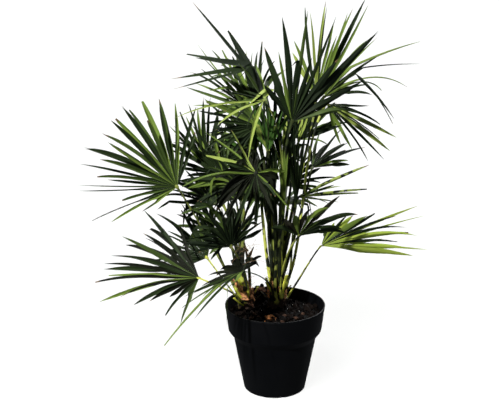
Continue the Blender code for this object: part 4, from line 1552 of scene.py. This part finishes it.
def growFan(label, fan, look):
    shape = bladeShape
    dice = random.Random("fan " + label)
    fan = fan._replace(turn=look.get("turn", fan.turn))
    axes = fanAxes(fan)
    upper = upperSide(fan)
    told = "leaves" in look
    rows = sorted(toldLeaves(look["leaves"]) if told else drawnLeaves(fan, look, dice))
    angles = [math.radians(row.angle) for row in rows]
    gap = (angles[-1] - angles[0]) / (len(angles) - 1)
    edges = [angles[0] - gap / 2.0]
    edges += [(low + high) / 2.0 for low, high in zip(angles, angles[1:])]
    edges.append(angles[-1] + gap / 2.0)
    reach = reachOf(fan)
    web = reach * look["webShare"]
    splits = [web * dice.uniform(1.0 - shape["splitJitter"], 1.0 + shape["splitJitter"]) for _ in edges]
    blunt, fork = look["blunt"], shape["forkShare"]
    for number, row in enumerate(rows):
        length = reach * row.long
        ending = dice.choices(("cut", "fork", "point"), (blunt, fork, 1.0 - blunt - fork))[0]
        kink = row.kink
        if kink is None and not told and dice.random() < look["kinked"]:
            kink = [dice.uniform(*shape[part]) for part in ("kinkAt", "kinkDown", "kinkAside")]
        leaf = {
            "lift": look["lift"] * (1.0 if number % 2 else -1.0) * dice.uniform(*shape["layers"]),
            "angle": angles[number], "edges": edges[number:number + 2],
            "splits": [min(split, length * shape["splitMost"]) for split in splits[number:number + 2]],
            "length": length, "half": look["wide"] * row.wide / 2.0,
            "webSlope": look["webSlope"], "cup": look["cup"], "kink": kink,
            "fold": dice.uniform(*look["fold"]),
            "bend": dice.uniform(-look["bend"], look["bend"]) if row.bend is None else row.bend,
            "droop": dice.uniform(*look["droop"]) * dice.random() if row.droop is None else row.droop,
            "twist": look["roll"] + dice.uniform(-look["twist"], look["twist"]),
            "taper": dice.uniform(*look["taper"]),
            "cut": dice.uniform(*shape["cutAt"]) if ending == "cut" else shape["pointAt"],
        }
        weights = look["shades"]
        shade = row.shade or dice.choices(list(weights), list(weights.values()))[0]
        rings = leafRings(fan, axes, upper, leaf)
        if dice.random() < shape["dryShare"]:
            addBlade(shade, rings[:-1], "cut")
            addBlade("dry", rings[-2:], ending)
        else:
            addBlade(shade, rings, ending)


def makeLeaves():
    for name in fans:
        for _, label, fan, solid in allFans(name):
            special = fanLooks.get(label, {} if solid else middleFan)
            growFan(label, fan, dict(ordinaryFan, **special))
    nodes = [node for name in fans for node in nodesOf("fan", name)]
    for shade, (points, faces, marks) in bundles.items():
        piece = meshPiece("leaves_" + shade, points, faces, materials[shade], marks)
        finishPiece(piece, nodes)


makeLeaves()


# Stems: a rough core under mats of fibre

stemLooks = {
    "sides": 28, "levels": 18, "lumps": 0.10, "lumpScale": 90.0, "sunk": 0.02,
    "strands": 230, "strandSteps": 7, "strandRadius": 0.00042, "strandSides": 4, "pale": 0.28,
    # a strand's foot and rise in shares of the stem, its lean round it, and how far it stands off
    "strandStart": (-0.02, 0.75), "strandRise": (0.2, 0.5), "strandLean": (0.15, 1.1),
    "strandStand": (0.0002, 0.0022),
    "hairs": 90, "hairLength": (0.010, 0.034), "hairStart": (0.3, 1.0), "hairOut": (0.2, 0.9),
    "hairStray": 0.4, "hairDroop": 0.6, "hairBend": 0.3, "hairStations": (0.0, 0.33, 0.66, 1.0),
}


def stemPoint(size, share, angle, stand):
    centre = stemAxis(size, share)
    radius = stemRadius(size, share)
    out = outwardAt(angle)
    rough = noise.noise((centre + out * radius) * stemLooks["lumpScale"]) * stemLooks["lumps"]
    return centre + out * (radius * (1.0 + rough) + stand), out


def drawStrand(size, dice):
    looks = stemLooks
    start = dice.uniform(*looks["strandStart"])
    angle = dice.uniform(0.0, math.tau)
    rise = dice.uniform(*looks["strandRise"])
    lean = dice.choice((-1.0, 1.0)) * dice.uniform(*looks["strandLean"])
    stand = dice.uniform(*looks["strandStand"])
    line = []
    for step in range(looks["strandSteps"]):
        share = step / (looks["strandSteps"] - 1)
        line.append(stemPoint(size, min(1.0, start + rise * share), angle + lean * share, stand)[0])
    return line


def drawHair(size, dice):
    looks = stemLooks
    share = dice.uniform(*looks["hairStart"])
    point, out = stemPoint(size, share, dice.uniform(0.0, math.tau), 0.0)
    stray = looks["hairStray"]
    way = out * dice.uniform(*looks["hairOut"])
    way = (way + Vector((dice.uniform(-stray, stray), dice.uniform(-stray, stray), 1.0))).normalized()
    length = dice.uniform(*looks["hairLength"])
    bend = Vector((dice.uniform(-1, 1), dice.uniform(-1, 1), -looks["hairDroop"])) * length
    bend *= looks["hairBend"]
    return [point + way * length * t + bend * t * t for t in looks["hairStations"]]


def makeStem(name):
    size = stems[name]
    looks = stemLooks
    dice = random.Random("stem " + name)
    rings = []
    for level in range(looks["levels"]):
        share = level / (looks["levels"] - 1) * (1.0 + looks["sunk"]) - looks["sunk"]
        rings.append([stemPoint(size, share, math.tau * step / looks["sides"], 0.0)[0]
                      for step in range(looks["sides"])])
    points = []
    faces = []
    closedTube(rings, points, faces)
    core = meshPiece("stem_core_" + name, points, faces, materials["core"])
    finishPiece(core, ["stem_" + name])
    lines = {"fibre": [], "fibrePale": []}
    for draw in [drawStrand] * looks["strands"] + [drawHair] * looks["hairs"]:
        line = draw(size, dice)
        lines["fibrePale" if dice.random() < looks["pale"] else "fibre"].append(line)
    for label, drawn in lines.items():
        piece = strandPiece("stem_%s_%s" % (label, name), drawn, looks["strandRadius"], looks["strandSides"],
                            materials[label])
        finishPiece(piece)


# Old leaf bases: cut stubs, scraps of fibre cloth and loose threads between the stalks

# A stub's turn round the stem, height above the soil, length and half width in mm, its climb, its
# shade, and where they differ from the usual its heading and how far it stands off the stem
Stub = collections.namedtuple("Stub", "turn height length width climb shade heading stand",
                              defaults=(None, 6.0))
stubs = {
    "left": (
        Stub(-89, 76, 40, 3.8, 67, "cut", -157, 16.0), Stub(-62, 48, 54, 3.0, 75, "cut", -160, 17.0),
        Stub(-112, 40, 40, 3.8, 63, "cut", -153, 16.0), Stub(-122, 24, 31, 3.6, 47, "cut", -151, 15.0),
        Stub(-20, 26, 30, 3.2, 48, "deep"), Stub(38, 30, 34, 3.4, 52, "green"),
        Stub(96, 24, 30, 3.2, 50, "deep"), Stub(150, 36, 36, 3.4, 58, "green"),
    ),
    "right": (
        Stub(-128, 62, 46, 4.4, 77, "cut", -154, 19.0), Stub(-66, 56, 66, 5.2, 74, "cut", -49, 17.0),
        Stub(-70, 126, 66, 5.0, 82, "cut", -160, 17.0), Stub(-118, 28, 26, 3.6, 60, "deep"),
        Stub(-22, 58, 92, 2.0, 72, "deep"), Stub(-48, 22, 24, 3.6, 52, "deep"),
        Stub(24, 34, 34, 3.4, 56, "green"), Stub(78, 26, 30, 3.4, 50, "deep"),
        Stub(132, 34, 38, 3.2, 58, "green"), Stub(178, 28, 28, 3.4, 50, "deep"),
    ),
}
stubShape = {"steps": 7, "flare": 1.7, "depth": 0.55, "sunk": 0.010}

# A scrap's turn, the heights of its foot and its ragged top above the soil, its half width and how
# far it stands off the stem, in mm
Scrap = collections.namedtuple("Scrap", "turn low high half stand", defaults=(5.6,))
scraps = {
    "left": (
        Scrap(-98, 36, 84, 14, 13.0), Scrap(-120, 72, 104, 5, 13.0), Scrap(-40, 34, 70, 10),
        Scrap(10, 24, 66, 9), Scrap(60, 24, 60, 10), Scrap(115, 22, 68, 9), Scrap(168, 24, 60, 10),
    ),
    "right": (
        Scrap(-106, 50, 98, 9, 15.0), Scrap(-80, 62, 94, 4, 14.0), Scrap(-150, 36, 80, 8, 8),
        Scrap(-15, 30, 72, 11), Scrap(40, 28, 78, 11), Scrap(95, 26, 70, 12), Scrap(150, 30, 76, 11),
    ),
}
scrapShape = {
    "columns": 7, "rows": 6, "lean": 0.0040, "thickness": 0.0009, "narrowing": 0.25,
    "ragged": (-0.008, 0.004), "rough": (-0.0007, 0.0007),
}
threadShape = {
    "count": 15, "radius": 0.00034, "sides": 4, "fan": 17, "turn": (20.0, 160.0), "climb": (10.0, 60.0),
    "curlClimb": (-60, 20), "curl": (0.01, 0.03), "curlPower": 1.6, "length": (0.03, 0.085), "droop": 0.02,
    "box": ((-0.045, 0.025), (0.0, 0.05), (0.015, 0.065)), "stations": (0.0, 0.2, 0.4, 0.6, 0.8, 1.0),
}


def makeStubs(name):
    size = stems[name]
    looks = stubShape
    for shade in stalkShades:
        points = []
        faces = []
        for stub in (row for row in stubs[name] if row.shade == shade):
            share = stub.height / 1000.0 / size["height"]
            stand = stub.stand / 1000.0
            start, aside = stemPoint(size, share, math.radians(stub.turn), stand)
            way = headingOf(stub.turn if stub.heading is None else stub.heading, stub.climb)
            line = []
            widths = []
            for step in range(looks["steps"]):
                along = step / (looks["steps"] - 1)
                sunk = (Vector((0.0, 0.0, looks["sunk"])) + aside * stand) * (1.0 - along) ** 3
                line.append(start + way * stub.length / 1000.0 * along - sunk)
                width = stub.width / 1000.0 * (1.0 + (looks["flare"] - 1.0) * (1.0 - along) ** 2)
                widths.append((width, width * looks["depth"]))
            closedTube(stalkRings(line, carriedFrames(line, aside), widths, -aside), points, faces)
        if points:
            piece = meshPiece("stubs_%s_%s" % (name, shade), points, faces, materials["stalk_" + shade])
            finishPiece(piece)


def makeScraps(name):
    size = stems[name]
    looks = scrapShape
    dice = random.Random("scraps " + name)
    points = []
    faces = []
    columns = looks["columns"]
    for scrap in scraps[name]:
        ragged = [dice.uniform(*looks["ragged"]) for _ in range(columns)]
        foot = scrap.low / 1000.0
        rings = []
        for row in range(looks["rows"]):
            up = row / (looks["rows"] - 1)
            outer = []
            inner = []
            for column in range(columns):
                height = foot + (scrap.high / 1000.0 + ragged[column] - foot) * up
                across = (2.0 * column / (columns - 1) - 1.0) * (1.0 - looks["narrowing"] * up)
                stand = scrap.stand / 1000.0 + looks["lean"] * up * up + dice.uniform(*looks["rough"])
                angle = math.radians(scrap.turn) + across * scrap.half / 1000.0 / (size["radius"] + stand)
                place, out = stemPoint(size, height / size["height"], angle, stand)
                outer.append(place)
                inner.append(place - out * looks["thickness"])
            rings.append(outer + inner[::-1])
        closedTube(rings, points, faces)
    piece = meshPiece("fibre_scraps_" + name, points, faces, materials["fibreCloth"])
    finishPiece(piece)


def makeThreads():
    # dead threads that curl round the hub of the low front frond
    dice = random.Random("threads")
    looks = threadShape
    hub = hubOf(fans["right"][looks["fan"]])
    lines = []
    for _ in range(looks["count"]):
        turn = dice.uniform(*looks["turn"])
        way = headingOf(turn, dice.uniform(*looks["climb"]))
        curl = headingOf(turn + dice.choice((-90, 90)), dice.uniform(*looks["curlClimb"]))
        curl *= dice.uniform(*looks["curl"])
        length = dice.uniform(*looks["length"])
        start = hub + Vector([dice.uniform(*limits) for limits in looks["box"]])
        drop = Vector((0.0, 0.0, looks["droop"]))
        lines.append([start + way * length * t + curl * t * t * looks["curlPower"] - drop * t ** 3
                      for t in looks["stations"]])
    piece = strandPiece("frond_threads", lines, looks["radius"], looks["sides"], materials["fibrePale"])
    finishPiece(piece)


for stemName in stems:
    makeStem(stemName)
    makeStubs(stemName)
    makeScraps(stemName)
makeThreads()
print("stems made")
